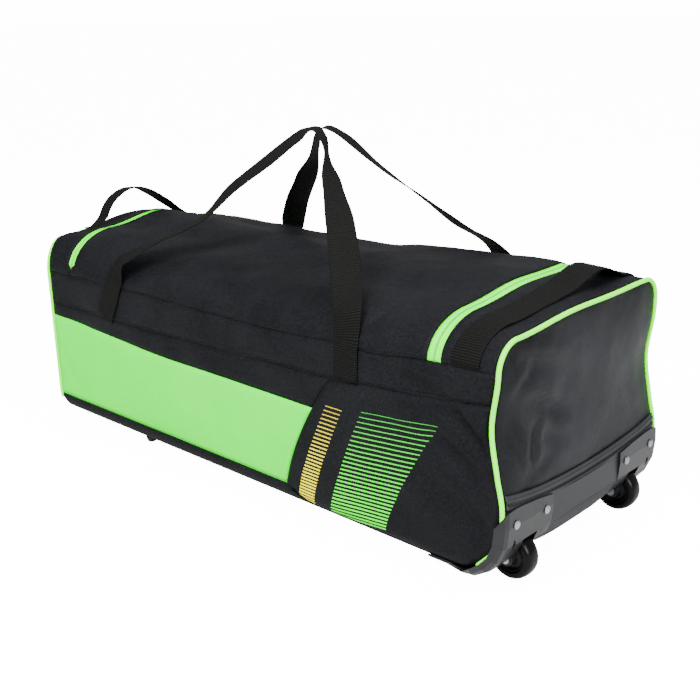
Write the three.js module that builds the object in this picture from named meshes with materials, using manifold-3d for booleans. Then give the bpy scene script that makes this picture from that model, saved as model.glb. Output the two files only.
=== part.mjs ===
// A wheeled duffle bag for cricket kit, standing full and zipped.
// Millimetres. +X points to the wheel end, -Y is the side with the coloured panel, +Z is up.
// The floor is z = 0 and the origin lies on it, under the middle of the bag.
import * as THREE from 'three';
import { mergeVertices } from 'three/addons/utils/BufferGeometryUtils.js';
import Module from 'manifold-3d';

const wasm = await Module();
wasm.setup();

// Driving dimensions: the cloth body
const bagLength = 900; // from one end panel to the other
const bagWidth = 350; // across the side panels
const baseHeight = 8; // underside of the base above the floor
const baseRoll = 28; // radius where the base turns up into the sides
const lidHeight = 326; // crown of the lid
const endHeight = 306; // shoulder of the end panels
const upperSeamHeight = 258; // where the lid meets the near side
const farSeamHeight = 282; // the zip's seam on the far side
const lowerSeamHeight = 206; // lower edge of the sewn side band
const limeTopHeight = 160; // upper edge of the lime panel
const baseBandHeight = 38; // the base turns up this far
const printBaseHeight = 16; // the printed panel comes down this far
const sideBulge = 5; // how far the full sides stand out
const clothWall = 1.6;
const seamGap = 0.4; // between two pieces that are sewn together

// Driving dimensions: the zip and the curved seam
const zipWidth = 22;
const zipWall = 1.4;
const zipWheelInset = 90; // the zip starts this far from the wheel end
const zipPullInset = 66; // and this far from the pull end
const zipBow = 13; // the zip leans this far back as it rises
const zipFarBow = 14; // and this much more on its way to the far side
const curvedSeamInset = 256; // top of the curved seam beside the lime panel, from the wheel end
const curvedSeamSweep = 94; // how far it sweeps back on its way down
const sliderLength = 16;
const sliderInset = 60; // from the zip's wheel end run
const sliderGap = 0.3; // between the slider and the zip
const pullTabLength = 26;

// Driving dimensions: the two ends
const wheelEndRound = 80; // radius of the body's bottom corner at the wheels
const pullEndRound = 34;
const endBulge = 5;
const pipingRadius = 3;
const kickHeightWheel = 118; // top of the wheel end's kick panel at its corners
const kickSag = 17; // its top edge hangs this much lower in the middle
const kickHeightPull = 112;
const kickStand = 13; // how far the kick panel stands out from the end panel
const kickStandPull = 7;
const kickWall = 2.4;
const hemWidth = 9;
const hemWall = 1.6;

// Driving dimensions: webbing
const webbingWidth = 40;
const webbingWall = 2;
const narrowWebbing = 25;
const strapGap = 1; // between a strap and the cloth it is sewn to
const handleLeftShare = -0.535; // where the near handle leaves the bag, of half its length
const handleRightShare = 0.515;
const legLean = 24; // the near left leg leans by this much between its foot and the lid
const handleHeight = 494; // top of the carry handles
const bandInset = 45; // webbing band across the top, from the wheel end
const grabPullInset = 29;
const grabPullHeight = 370;
const grabWheelRise = 17;

// Driving dimensions: wheels and their housings
const wheelRadius = 30;
const wheelWidth = 25;
const wheelTrack = 242; // between the two tyres' middles
const wheelInset = 9; // axle, from the wheel end's plane
const hubRadius = 19.5;
const axleRadius = 4;
const axleFit = 0.4;
const wheelClearance = 2.5;
const housingWall = 3;
const housingRound = 85; // outside radius round the bag's bottom corner
const housingHeight = 110;
const housingInner = 78; // inner edge, from the middle of the bag
const housingLap = 13; // how far it laps round the bag's corner
const housingCorner = 12; // radius between its end face and its side
const housingShoulder = 20; // radius of its upper outer corner
const wellWall = 2.5;
const rivetRadius = 5.5;
const rivetHeight = 2.4;
const rivetShank = 2;
const footRadius = 9;
const footPlaceShare = -0.52; // of half the length
const footTrack = 300;

const halfLength = bagLength / 2;
const halfWidth = bagWidth / 2;
const zipWheelPlace = halfLength - zipWheelInset;
const zipPullPlace = zipPullInset - halfLength;
const curvedSeamPlace = halfLength - curvedSeamInset;
const bandPlace = halfLength - bandInset;
const grabPullPlace = grabPullInset - halfLength;
const handleLeft = handleLeftShare * halfLength;
const handleRight = handleRightShare * halfLength;
const wheelPlace = halfLength - wheelInset;
const edgeGap = seamGap / 2;
const pipeRoom = pipingRadius + 2 * seamGap; // the cloth stops this far from the piping's middle

const looks = {
  blackCloth: { color: 0x22242a, roughness: 0.82, metalness: 0 },
  limeCloth: { color: 0x8fe57f, roughness: 0.7, metalness: 0 },
  limeTrim: { color: 0x7fee3e, roughness: 0.55, metalness: 0 },
  webbing: { color: 0x17181b, roughness: 0.85, metalness: 0 },
  kickRubber: { color: 0x33363b, roughness: 0.55, metalness: 0 },
  moulded: { color: 0x3a3d42, roughness: 0.45, metalness: 0 },
  tyre: { color: 0x1b1c1f, roughness: 0.25, metalness: 0 },
  hub: { color: 0x101113, roughness: 0.4, metalness: 0 },
  steel: { color: 0xc9ccd0, roughness: 0.25, metalness: 1 },
};

const bag = new THREE.Group();
bag.name = 'cricket_kit_bag';

function addPiece(name, geometry, look) {
  geometry.computeVertexNormals();
  const mesh = new THREE.Mesh(geometry, new THREE.MeshStandardMaterial(looks[look]));
  mesh.name = name;
  bag.add(mesh);
  return mesh;
}

// Small helpers for curves and tables
const mix = (a, b, t) => a + (b - a) * t;
const clamp = (value, low, high) => Math.min(high, Math.max(low, value));
const ease = (t) => t * t * (3 - 2 * t);

function range(count, low = 0, high = 1) {
  return Array.from({ length: count + 1 }, (_, i) => mix(low, high, i / count));
}

// Reads a column of a table at a place between its rows, with an even curve through the rows.
function read(table, key, column, at) {
  const last = table.length - 1;
  const place = clamp(at, table[0][key], table[last][key]);
  let row = 0;
  while (row < last - 1 && place > table[row + 1][key]) row += 1;
  const [a, b] = [table[row], table[row + 1]];
  const [before, after] = [table[Math.max(0, row - 1)], table[Math.min(last, row + 2)]];
  const span = b[key] - a[key];
  const slopeA = (b[column] - before[column]) / (b[key] - before[key]);
  const slopeB = (after[column] - a[column]) / (after[key] - a[key]);
  const t = (place - a[key]) / span;
  const [t2, t3] = [t * t, t * t * t];
  return (2 * t3 - 3 * t2 + 1) * a[column] + (t3 - 2 * t2 + t) * span * slopeA
    + (3 * t2 - 2 * t3) * b[column] + (t3 - t2) * span * slopeB;
}

// The body's form along its length. along: -1 at the pull end, 1 at the wheel end.
// crown is a share of lidHeight, shoulder and farShoulder are shares of endHeight, reach and
// farReach are the widths of the rounded shoulders as shares of half the width.
const formTable = [
  { along: -1.0, crown: 0.996, shoulder: 1.0, farShoulder: 1.0, reach: 0.18, farReach: 0.17 },
  { along: -0.89, crown: 1.012, shoulder: 1.032, farShoulder: 1.028, reach: 0.46, farReach: 0.34 },
  { along: -0.7, crown: 1.014, shoulder: 1.036, farShoulder: 1.03, reach: 0.56, farReach: 0.4 },
  { along: -0.3, crown: 0.996, shoulder: 1.019, farShoulder: 1.008, reach: 0.6, farReach: 0.4 },
  { along: 0.08, crown: 0.98, shoulder: 1.003, farShoulder: 1.004, reach: 0.6, farReach: 0.38 },
  { along: 0.26, crown: 0.988, shoulder: 1.008, farShoulder: 1.036, reach: 0.59, farReach: 0.34 },
  { along: 0.45, crown: 0.992, shoulder: 1.01, farShoulder: 1.044, reach: 0.58, farReach: 0.3 },
  { along: 0.76, crown: 0.99, shoulder: 1.02, farShoulder: 1.046, reach: 0.52, farReach: 0.22 },
  { along: 0.89, crown: 0.98, shoulder: 1.018, farShoulder: 1.036, reach: 0.42, farReach: 0.2 },
  { along: 1.0, crown: 0.962, shoulder: 0.998, farShoulder: 1.03, reach: 0.19, farReach: 0.17 },
];

// Heights of the long seams on the near side, as shares of their named heights.
const seamTable = [
  { along: -1.0, upper: 0.972, lower: 0.956, lime: 1.106 },
  { along: -0.6, upper: 0.98, lower: 0.966, lime: 1.068 },
  { along: -0.35, upper: 0.982, lower: 0.97, lime: 1.04 },
  { along: 0.0, upper: 0.977, lower: 0.995, lime: 1.032 },
  { along: 0.3, upper: 0.986, lower: 1.008, lime: 1.022 },
  { along: 0.47, upper: 1.004, lower: 1.018, lime: 1.016 },
  { along: 0.57, upper: 0.994, lower: 1.044, lime: 1.02 },
  { along: 0.78, upper: 1.033, lower: 1.073, lime: 1.04 },
  { along: 1.0, upper: 1.047, lower: 1.13, lime: 1.06 },
];

// Soft dents and creases. along and up are shares of half the length and of lidHeight, length
// and breadth are shares of bagWidth, turn is in degrees from the length, depth in millimetres.
const sideDents = [
  { along: 0.9, up: 0.42, length: 0.34, breadth: 0.055, turn: -62, depth: 5 },
  { along: 0.97, up: 0.25, length: 0.2, breadth: 0.06, turn: -40, depth: 3 },
  { along: 0.8, up: 0.73, length: 0.22, breadth: 0.05, turn: 14, depth: 4 },
  { along: -0.86, up: 0.55, length: 0.3, breadth: 0.12, turn: 70, depth: 3 },
  { along: -0.3, up: 0.3, length: 0.5, breadth: 0.2, turn: 4, depth: -3 },
];
const lidDents = [
  { along: -0.42, up: 0.2, length: 0.3, breadth: 0.085, turn: 28, depth: 9 },
  { along: -0.5, up: 0.1, length: 0.16, breadth: 0.05, turn: 68, depth: 6 },
  { along: 0.56, up: 0.14, length: 0.22, breadth: 0.05, turn: 62, depth: 4 },
  { along: 0.12, up: 0.5, length: 0.7, breadth: 0.2, turn: 3, depth: 3 },
];
const endDents = [
  { along: -0.55, up: 0.84, length: 0.16, breadth: 0.06, turn: -12, depth: 3 },
  { along: -0.3, up: 0.66, length: 0.2, breadth: 0.05, turn: 64, depth: 3.5 },
  { along: -0.5, up: 0.5, length: 0.14, breadth: 0.05, turn: 40, depth: 3 },
  { along: 0.35, up: 0.62, length: 0.26, breadth: 0.12, turn: 80, depth: -2 },
];

function dentDepth(dents, across, acrossUnit, up, upUnit) {
  let sum = 0;
  for (const dent of dents) {
    const turn = THREE.MathUtils.degToRad(dent.turn);
    const dx = across - dent.along * acrossUnit;
    const dz = up - dent.up * upUnit;
    const a = (dx * Math.cos(turn) + dz * Math.sin(turn)) / (dent.length * bagWidth / 2);
    const b = (dz * Math.cos(turn) - dx * Math.sin(turn)) / (dent.breadth * bagWidth);
    sum += dent.depth * Math.exp(-a * a - b * b);
  }
  return sum;
}

// Height of a named line of the near side (-1) or the far side (1) at a place along the bag.
const wheelSideOfSeam = (x) => clamp((x - curvedSeamPlace) / (0.08 * halfLength), 0, 1);
const lines = {
  base: (x) => mix(baseBandHeight, printBaseHeight, wheelSideOfSeam(x)),
  lime: (x) => limeTopHeight * read(seamTable, 'along', 'lime', x / halfLength),
  lower: (x) => lowerSeamHeight * read(seamTable, 'along', 'lower', x / halfLength),
  upper: (x, side) => (side < 0
    ? upperSeamHeight * read(seamTable, 'along', 'upper', x / halfLength)
    : farSeamHeight),
};

// Distance from the bag's middle to its end outline at height z, or to the line that lies
// inset inside it: upright, then an arc down to the base.
function endReach(z, round, inset) {
  const drop = Math.max(0, baseHeight + round - z);
  return halfLength - round + Math.sqrt(Math.max(0, (round - inset) ** 2 - drop * drop));
}

// Real place along the bag of a lattice line x at height z: the lines follow the curved seam
// in the middle and close up towards the rounded bottom corners at the ends.
function placeOn(x, z) {
  const rise = clamp((z - baseHeight) / (lines.lower(x) - baseHeight), 0, 1);
  const end = (x < curvedSeamPlace ? -1 : 1) * (halfLength - pipeRoom);
  const toEnd = clamp((x - end) / (curvedSeamPlace - end), 0, 1);
  const sweep = curvedSeamSweep * toEnd * (1 - rise ** 1.53);
  const round = x > 0 ? wheelEndRound : pullEndRound;
  const from = halfLength - 2.5 * round;
  const edge = halfLength - pipeRoom;
  const out = Math.abs(x);
  let reach = out;
  if (out > edge) {
    reach = mix(endReach(z, round, pipeRoom), endReach(z, round, 0), (out - edge) / pipeRoom);
  } else if (out > from) {
    reach = mix(from, endReach(z, round, pipeRoom), (out - from) / (edge - from));
  }
  return Math.sign(x) * reach - sweep;
}

// Half the width of the bag at a height: upright, then rolled in to the base.
function halfWidthAt(z) {
  const drop = clamp((baseHeight + baseRoll - z) / baseRoll, 0, 1);
  return halfWidth - baseRoll * (1 - Math.sqrt(1 - drop * drop));
}

// A point of the near (-1) or far (1) side at lattice line x and height z.
function sidePoint(side, x, z) {
  const place = placeOn(x, z);
  const low = lines.base(x);
  const high = lines.upper(x, side);
  const rise = clamp((z - low) / (high - low), 0, 1);
  const middle = 1 - (x / halfLength) ** 2;
  const atSeams = clamp(rise * (1 - rise) * 12, 0, 1);
  let out = halfWidthAt(z) + sideBulge * Math.sin(Math.PI * rise) * middle;
  const soft = atSeams * (1 - (x / halfLength) ** 8);
  if (side < 0) out -= dentDepth(sideDents, place, halfLength, z, lidHeight) * soft;
  return new THREE.Vector3(place, side * out, z);
}

// A point of the top at lattice line x. t runs from 0 at the near seam, over the crown, to 1
// at the far seam.
const nearArc = 0.28;
const farArc = 0.86;
function topPoint(x, t) {
  const along = x / halfLength;
  const reach = halfWidth * read(formTable, 'along', 'reach', along);
  const farReach = halfWidth * read(formTable, 'along', 'farReach', along);
  const shoulder = endHeight * read(formTable, 'along', 'shoulder', along);
  const farShoulder = endHeight * read(formTable, 'along', 'farShoulder', along);
  const crown = lidHeight * read(formTable, 'along', 'crown', along);
  const [near, far] = [lines.upper(x, -1), lines.upper(x, 1)];
  let [y, z] = [0, 0];
  if (t < nearArc) {
    const turn = (t / nearArc) * Math.PI / 2;
    y = -halfWidth + reach * (1 - Math.cos(turn));
    z = near + (shoulder - near) * Math.sin(turn);
  } else if (t > farArc) {
    const turn = ((1 - t) / (1 - farArc)) * Math.PI / 2;
    y = halfWidth - farReach * (1 - Math.cos(turn));
    z = far + (farShoulder - far) * Math.sin(turn);
  } else {
    const s = (t - nearArc) / (farArc - nearArc);
    y = mix(-halfWidth + reach, halfWidth - farReach, s);
    const between = mix(shoulder, farShoulder, ease(s));
    z = between + (crown - between) * (1 - Math.cos(2 * Math.PI * s)) / 2;
  }
  const farBow = zipFarBow * clamp(0.5 + along / 2, 0, 1);
  const bow = zipBow * ease(clamp(t / 0.35, 0, 1)) + farBow * ease(clamp(t * 1.6 - 0.6, 0, 1));
  const edge = halfLength - pipeRoom;
  const nearEnd = x > zipWheelPlace
    ? (edge - x) / (edge - zipWheelPlace)
    : (x + edge) / (zipPullPlace + edge);
  const place = x - bow * clamp(nearEnd, 0, 1);
  const soft = (1 - (x / halfLength) ** 8) * clamp(t * (1 - t) * 14, 0, 1);
  z -= dentDepth(lidDents, place, halfLength, t * lidHeight, lidHeight) * soft;
  return new THREE.Vector3(place, y, z);
}

// A closed sheet of cloth: a grid of points on the outer face and the same grid a wall behind
// it. keep(i, j) leaves cells out, and the rim follows what is kept.
function sheet(pointAt, us, vs, wall, { keep = () => true, flip = false } = {}) {
  const [nu, nv] = [us.length, vs.length];
  const [du, dv] = [(us[nu - 1] - us[0]) * 1e-3, (vs[nv - 1] - vs[0]) * 1e-3];
  const outer = [];
  const inner = [];
  for (const u of us) {
    for (const v of vs) {
      const point = pointAt(u, v);
      const alongU = pointAt(u + du, v).sub(pointAt(u - du, v));
      const alongV = pointAt(u, v + dv).sub(pointAt(u, v - dv));
      const normal = alongU.cross(alongV).normalize().multiplyScalar(flip ? -1 : 1);
      outer.push(point);
      inner.push(point.clone().addScaledVector(normal, -wall));
    }
  }
  const kept = (i, j) => i >= 0 && j >= 0 && i < nu - 1 && j < nv - 1 && keep(i, j);
  const id = (i, j, back) => i * nv + j + (back ? nu * nv : 0);
  const faces = [];
  const quad = (a, b, c, d) => {
    if (flip) faces.push(a, c, b, a, d, c);
    else faces.push(a, b, c, a, c, d);
  };
  for (let i = 0; i < nu - 1; i += 1) {
    for (let j = 0; j < nv - 1; j += 1) {
      if (!kept(i, j)) continue;
      const corners = [[i, j], [i + 1, j], [i + 1, j + 1], [i, j + 1]];
      const [a, b, c, d] = corners.map(([p, q]) => id(p, q, false));
      const [e, f, g, h] = corners.map(([p, q]) => id(p, q, true));
      quad(a, b, c, d);
      quad(e, h, g, f);
      if (!kept(i, j - 1)) quad(a, e, f, b);
      if (!kept(i + 1, j)) quad(b, f, g, c);
      if (!kept(i, j + 1)) quad(c, g, h, d);
      if (!kept(i - 1, j)) quad(d, h, e, a);
    }
  }
  return meshOf([...outer, ...inner], faces);
}

function meshOf(points, faces) {
  const geometry = new THREE.BufferGeometry();
  const numbers = points.flatMap((point) => [point.x, point.y, point.z]);
  geometry.setAttribute('position', new THREE.Float32BufferAttribute(numbers, 3));
  geometry.setIndex(faces);
  const used = geometry.toNonIndexed();
  return mergeVertices(used, 1e-3);
}

// Joining and cutting closed meshes
function solidOf(geometry) {
  const plain = geometry.clone();
  plain.deleteAttribute('normal');
  plain.deleteAttribute('uv');
  const merged = mergeVertices(plain, 1e-3);
  return new wasm.Manifold(new wasm.Mesh({
    numProp: 3,
    vertProperties: new Float32Array(merged.attributes.position.array),
    triVerts: new Uint32Array(merged.index.array),
  }));
}

function geometryOf(solid) {
  const mesh = solid.getMesh();
  const geometry = new THREE.BufferGeometry();
  geometry.setAttribute('position', new THREE.BufferAttribute(mesh.vertProperties, 3));
  geometry.setIndex(new THREE.BufferAttribute(mesh.triVerts, 1));
  return geometry;
}

function boxBetween(low, high) {
  const size = low.map((value, i) => high[i] - value);
  const middle = low.map((value, i) => (high[i] + value) / 2);
  return new THREE.BoxGeometry(...size).translate(...middle);
}

// A cylinder along Y between two places.
function rodAcross(radius, x, z, yLow, yHigh, sides) {
  const rod = new THREE.CylinderGeometry(radius, radius, yHigh - yLow, sides);
  return rod.translate(x, (yLow + yHigh) / 2, z);
}

// Lattice lines along the bag. Every seam that two pieces share is drawn through the same ones.
const pullZipOuter = zipPullPlace - zipWidth / 2;
const pullZipInner = zipPullPlace + zipWidth / 2;
const wheelZipInner = zipWheelPlace - zipWidth / 2;
const wheelZipOuter = zipWheelPlace + zipWidth / 2;
const stations = [
  ...range(2, -halfLength, pullZipOuter),
  ...range(11, pullZipInner, curvedSeamPlace),
  ...range(4, curvedSeamPlace, wheelZipInner).slice(1),
  ...range(3, wheelZipOuter, halfLength),
];

function stationsBetween(low, high, lowGap, highGap) {
  const inside = stations.filter((x) => x > low + 1e-6 && x < high - 1e-6);
  return [low + lowGap, ...inside, high - highGap];
}

// Rows of a panel between two named lines, moved in from both by half a seam's gap.
function wallPanel(side, from, to, rows, low, high, lowGap, highGap) {
  const pointAt = (x, v) => {
    const zLow = lines[from](x, side) + edgeGap;
    const zHigh = lines[to](x, side) - edgeGap;
    return sidePoint(side, x, mix(zLow, zHigh, v));
  };
  const xs = stationsBetween(low, high, lowGap, highGap);
  return sheet(pointAt, xs, range(rows), clothWall, { flip: side > 0 });
}

const ends = [-halfLength, halfLength];
addPiece('side_panel_lime',
  wallPanel(-1, 'base', 'lime', 4, ends[0], curvedSeamPlace, pipeRoom, edgeGap), 'limeCloth');
addPiece('side_panel_near',
  wallPanel(-1, 'lime', 'lower', 2, ends[0], curvedSeamPlace, pipeRoom, edgeGap), 'blackCloth');
addPiece('side_panel_print', printPanel(), 'blackCloth');
addPiece('side_band_near',
  wallPanel(-1, 'lower', 'upper', 2, ends[0], ends[1], pipeRoom, pipeRoom), 'blackCloth');
addPiece('side_panel_far',
  wallPanel(1, 'base', 'lower', 4, ends[0], ends[1], pipeRoom, pipeRoom), 'blackCloth');
addPiece('side_band_far',
  wallPanel(1, 'lower', 'upper', 2, ends[0], ends[1], pipeRoom, pipeRoom), 'blackCloth');

// The printed panel meets two pieces along the curved seam, so its rows are theirs.
function printPanel() {
  const rowHeight = (x, v) => (v < 4
    ? mix(lines.base(x) + edgeGap, lines.lime(x), v / 4)
    : mix(lines.lime(x), lines.lower(x) - edgeGap, (v - 4) / 2));
  const xs = stationsBetween(curvedSeamPlace, ends[1], edgeGap, pipeRoom);
  return sheet((x, v) => sidePoint(-1, x, rowHeight(x, v)), xs, range(6, 0, 6), clothWall);
}

// The base: up to the base band on both sides, with a roll at each edge.
function basePoint(x, s) {
  const side = s < 0 ? -1 : 1;
  const away = Math.abs(s);
  const flatEdge = 0.55;
  const rollEdge = 0.9;
  if (away <= flatEdge) {
    const out = (halfWidth - baseRoll) * away / flatEdge;
    return new THREE.Vector3(placeOn(x, baseHeight), side * out, baseHeight);
  }
  const turn = clamp((away - flatEdge) / (rollEdge - flatEdge), 0, 1) * Math.PI / 2;
  const top = lines.base(x) - edgeGap;
  const rollTop = Math.min(baseHeight + baseRoll, top - edgeGap);
  const rolled = baseHeight + (rollTop - baseHeight) * (1 - Math.cos(turn));
  const z = away > rollEdge ? mix(rollTop, top, (away - rollEdge) / (1 - rollEdge)) : rolled;
  return new THREE.Vector3(placeOn(x, z), side * halfWidthAt(z), z);
}
const baseRows = [-1, -0.9, -0.73, -0.55, 0.55, 0.73, 0.9, 1];
addPiece('base_panel', sheet(basePoint, stationsBetween(ends[0], ends[1], pipeRoom, pipeRoom),
  baseRows, clothWall, { flip: true }), 'blackCloth');

// The top: lid, zip and the two fixed gussets share one lattice.
const topRows = [0, 0.05, 0.11, 0.17, 0.23, 0.3, 0.4, 0.5, 0.6, 0.7, 0.79, 0.86, 0.91, 0.95, 1];
const farZipRow = 0.95;
const rowGap = edgeGap / (bagWidth + 2 * (lidHeight - upperSeamHeight));

function topPanel(low, high, lowGap, highGap, lastRow, wall) {
  const rows = topRows.filter((t) => t > 0 && t < lastRow);
  const ts = [rowGap, ...rows, lastRow - rowGap];
  return sheet(topPoint, stationsBetween(low, high, lowGap, highGap), ts, wall);
}
addPiece('lid', topPanel(pullZipInner, wheelZipInner, edgeGap, edgeGap, farZipRow, clothWall), 'blackCloth');
addPiece('gusset_wheel_end', topPanel(wheelZipOuter, ends[1], edgeGap, pipeRoom, 1, clothWall), 'blackCloth');
addPiece('gusset_pull_end', topPanel(ends[0], pullZipOuter, pipeRoom, edgeGap, 1, clothWall), 'blackCloth');

// The zip runs up, along the far edge and down again: the lid's cells are left out of it.
function zipTape() {
  const xs = stationsBetween(pullZipOuter, wheelZipOuter, edgeGap, edgeGap);
  const moved = xs.map((x) => {
    if (Math.abs(x - pullZipInner) < 1e-6) return x - edgeGap;
    if (Math.abs(x - wheelZipInner) < 1e-6) return x + edgeGap;
    return x;
  });
  const rows = topRows.filter((t) => t > 0 && t < 1);
  const ts = [rowGap, ...rows, 1 - rowGap].map((t) => (t === farZipRow ? t + rowGap : t));
  const inLid = (i, j) => i > 0 && i < xs.length - 2 && j < ts.length - 2;
  return sheet(topPoint, moved, ts, zipWall, { keep: (i, j) => !inLid(i, j) });
}
addPiece('zip', zipTape(), 'limeTrim');

// Outline of an end, from the near bottom, up, over and down to the far bottom. k runs 0 to 3.
function endOutline(end, k, inset = 0) {
  const bottom = baseBandHeight * 0.8;
  const [x, sign] = [end * halfLength, k < 1.5 ? -1 : 1];
  if (k <= 1 || k >= 2) {
    const rise = k <= 1 ? k : 3 - k;
    const z = mix(bottom, lines.upper(x, sign), rise);
    const point = sidePoint(sign, x, z);
    point.y -= sign * inset;
    return point;
  }
  const point = topPoint(x, k - 1);
  const turned = topPoint(x, k - 1 + 1e-3).sub(topPoint(x, k - 1 - 1e-3)).normalize();
  return point.add(new THREE.Vector3(0, turned.z, -turned.y).multiplyScalar(inset));
}

// Piping: a cord in the seam round each end.
function piping(end) {
  const ks = [...range(11, 0, 1), ...range(5, 1, 1 + nearArc).slice(1),
    ...range(5, 1 + nearArc, 1 + farArc).slice(1), ...range(5, 1 + farArc, 2).slice(1),
    ...range(11, 2, 3).slice(1)];
  const path = ks.map((k) => endOutline(end, k, pipingRadius * 0.4));
  return ribbon(path, null, pipingRadius, pipingRadius, 6);
}

// A tube or strap along points. With across vectors it is a flat strap of the given breadths,
// without them a round cord.
function ribbon(path, across, breadth, wall, sides = 4) {
  const points = [];
  const faces = [];
  const count = path.length;
  let side = null;
  path.forEach((point, i) => {
    const ahead = path[Math.min(count - 1, i + 1)];
    const behind = path[Math.max(0, i - 1)];
    const along = ahead.clone().sub(behind).normalize();
    side = across ? across[i].clone() : (side ?? new THREE.Vector3(1, 0, 0));
    side.addScaledVector(along, -side.dot(along)).normalize();
    const face = along.clone().cross(side);
    for (let corner = 0; corner < sides; corner += 1) {
      const turn = ((corner + 0.5) / sides) * 2 * Math.PI;
      const scale = across ? Math.SQRT1_2 : 1;
      const wide = across ? breadth[i] : 2 * breadth;
      points.push(point.clone()
        .addScaledVector(side, Math.cos(turn) * wide * scale / (across ? 1 : 2))
        .addScaledVector(face, Math.sin(turn) * wall * scale));
    }
  });
  for (let i = 0; i < count - 1; i += 1) {
    for (let corner = 0; corner < sides; corner += 1) {
      const next = (corner + 1) % sides;
      const [a, b] = [i * sides + corner, i * sides + next];
      faces.push(a, b, b + sides, a, b + sides, a + sides);
    }
  }
  for (let corner = 1; corner < sides - 1; corner += 1) {
    faces.push(0, corner + 1, corner);
    const first = (count - 1) * sides;
    faces.push(first, first + corner, first + corner + 1);
  }
  return meshOf(points, faces);
}

addPiece('piping_wheel_end', piping(1), 'limeTrim');
addPiece('piping_pull_end', piping(-1), 'limeTrim');

// Outer face of an end panel, measured along the bag.
function endFace(end, y, z) {
  const low = kickHeightWheel * 0.7;
  const rise = clamp((z - low) / (endHeight - low), 0, 1);
  const shape = Math.sin(Math.PI * rise) * (1 - (y / halfWidth) ** 4);
  const dent = end > 0 ? dentDepth(endDents, y, halfWidth, z, endHeight) : 0;
  return end * (halfLength + (endBulge - dent) * clamp(shape * 1.4, 0, 1));
}

// End panels: rows stretch from the near outline to the far one, inside the piping.
function endPanel(end) {
  const inset = pipeRoom * 1.6;
  const pointAt = (s, k) => {
    const near = endOutline(end, k, inset);
    const mirrored = k <= 1 ? 3 - k : 2 - (k - 1) * (1 - farArc) / nearArc;
    const far = endOutline(end, mirrored, inset);
    const point = near.clone().lerp(far, s);
    const atTop = clamp((k - 1) / nearArc, 0, 1) ** 4;
    const level = endOutline(end, 1 + (nearArc + farArc) / 2, inset).z;
    point.z += crownRise(s, near.z, far.z, level) * atTop;
    point.x = endFace(end, point.y, point.z);
    return point;
  };
  const ks = [...range(6, 0.3, 1), ...range(4, 1, 1 + nearArc).slice(1)];
  return sheet(pointAt, range(9), ks, clothWall, { flip: end < 0 });
}

// How far the middle of the top edge stands above a straight line between its corners.
function crownRise(s, near, far, level) {
  return (level - (near + far) / 2) * (1 - Math.cos(2 * Math.PI * s)) / 2;
}
addPiece('end_panel_wheel', endPanel(1), 'blackCloth');
addPiece('end_panel_pull', endPanel(-1), 'blackCloth');

const housingFull = 0.13; // how much fuller than a round corner the wheel end's corner is

// Kick panels: from under the base, round the bottom corner and up the end. s runs -1 to 1
// across the bag, q runs 0 to 1 round the corner and 1 to 2 up the end.
const kicks = {
  wheel: { end: 1, round: wheelEndRound, stand: kickStand, top: kickHeightWheel, sag: kickSag, power: 8,
    cornerFull: housingFull, middleFull: 0.24 },
  pull: { end: -1, round: pullEndRound, stand: kickStandPull, top: kickHeightPull, sag: 0, power: 24,
    cornerFull: 0, middleFull: 0 },
};
const kickReach = halfWidth - 2 * pipingRadius - edgeGap * 4; // half its width

function kickTop(kick, s) {
  return kick.top - kick.sag * (1 - s * s);
}

function kickPoint(kick, s, q) {
  const hollow = kick.stand * (1 - 0.7 * Math.abs(s) ** kick.power);
  const between = clamp(1 - (Math.abs(s) * kickReach / housingInner) ** 4, 0, 1);
  const fuller = 1 - mix(kick.cornerFull, kick.middleFull, between);
  const middle = halfLength - kick.round;
  const turn = Math.min(q, 1) * Math.PI / 2;
  const bend = baseHeight + kick.round * (1 - Math.max(0, Math.cos(turn)) ** fuller);
  const up = Math.max(0, q - 1);
  const z = mix(bend, kickTop(kick, s), up);
  const y = s * Math.min(kickReach, halfWidthAt(z) - edgeGap);
  const sine = Math.sign(turn) * Math.abs(Math.sin(turn)) ** fuller;
  let x = middle + (kick.round + hollow) * sine - hollow * 0.45 * up * up;
  x += seamGap * (1 - Math.min(q, 1));
  if (q > 1) x = Math.max(x, Math.abs(endFace(kick.end, y, z)) + kickWall + 2 * seamGap);
  return new THREE.Vector3(kick.end * x, y, z);
}

function kickPanel(kick, rounds, ups) {
  const qs = [...range(rounds, 0, 1), ...range(ups, 1, 2).slice(1)];
  const ss = [-1, -0.96, -0.88, -0.7, -0.45, -0.2, 0, 0.2, 0.45, 0.7, 0.88, 0.96, 1];
  return sheet((s, q) => kickPoint(kick, s, q), ss, qs, kickWall, { flip: kick.end < 0 });
}

// The hem closes the wheel end's kick panel along its top and lies on the end panel.
function kickHem() {
  const kick = kicks.wheel;
  const stand = seamGap + hemWall;
  const pointAt = (s, v) => {
    const edge = kickPoint(kick, s, 2);
    const z = edge.z + seamGap + v * hemWidth;
    const face = endFace(1, edge.y, z) + stand;
    return new THREE.Vector3(mix(Math.max(edge.x, face), face, v), edge.y, z);
  };
  return sheet(pointAt, range(12, -1, 1), [0, 0.5, 1], hemWall);
}

// Wheels and the moulded housings that hold them
const wheelHeight = wheelRadius;
const slotHalf = wheelWidth / 2 + wheelClearance - 0.5;
const axleHead = axleRadius * 1.5;
const axleWall = slotHalf + wellWall + seamGap;
const axleHalf = axleWall + 2;
const wheelSide = wheelTrack / 2;
const wellBack = wheelPlace - wheelRadius - wheelClearance;
const wellTop = wheelHeight + wheelRadius + wheelClearance;
const housingSide = halfWidth + 2 * pipingRadius; // outer face beside the bag
const housingFit = seamGap + housingWall;

const housingLean = 0.8; // how far its top leans in
const tongueReach = 30; // how far its tongue runs on under the bag
const tongueStart = -0.16; // where the tongue leaves the corner, in q
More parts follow.
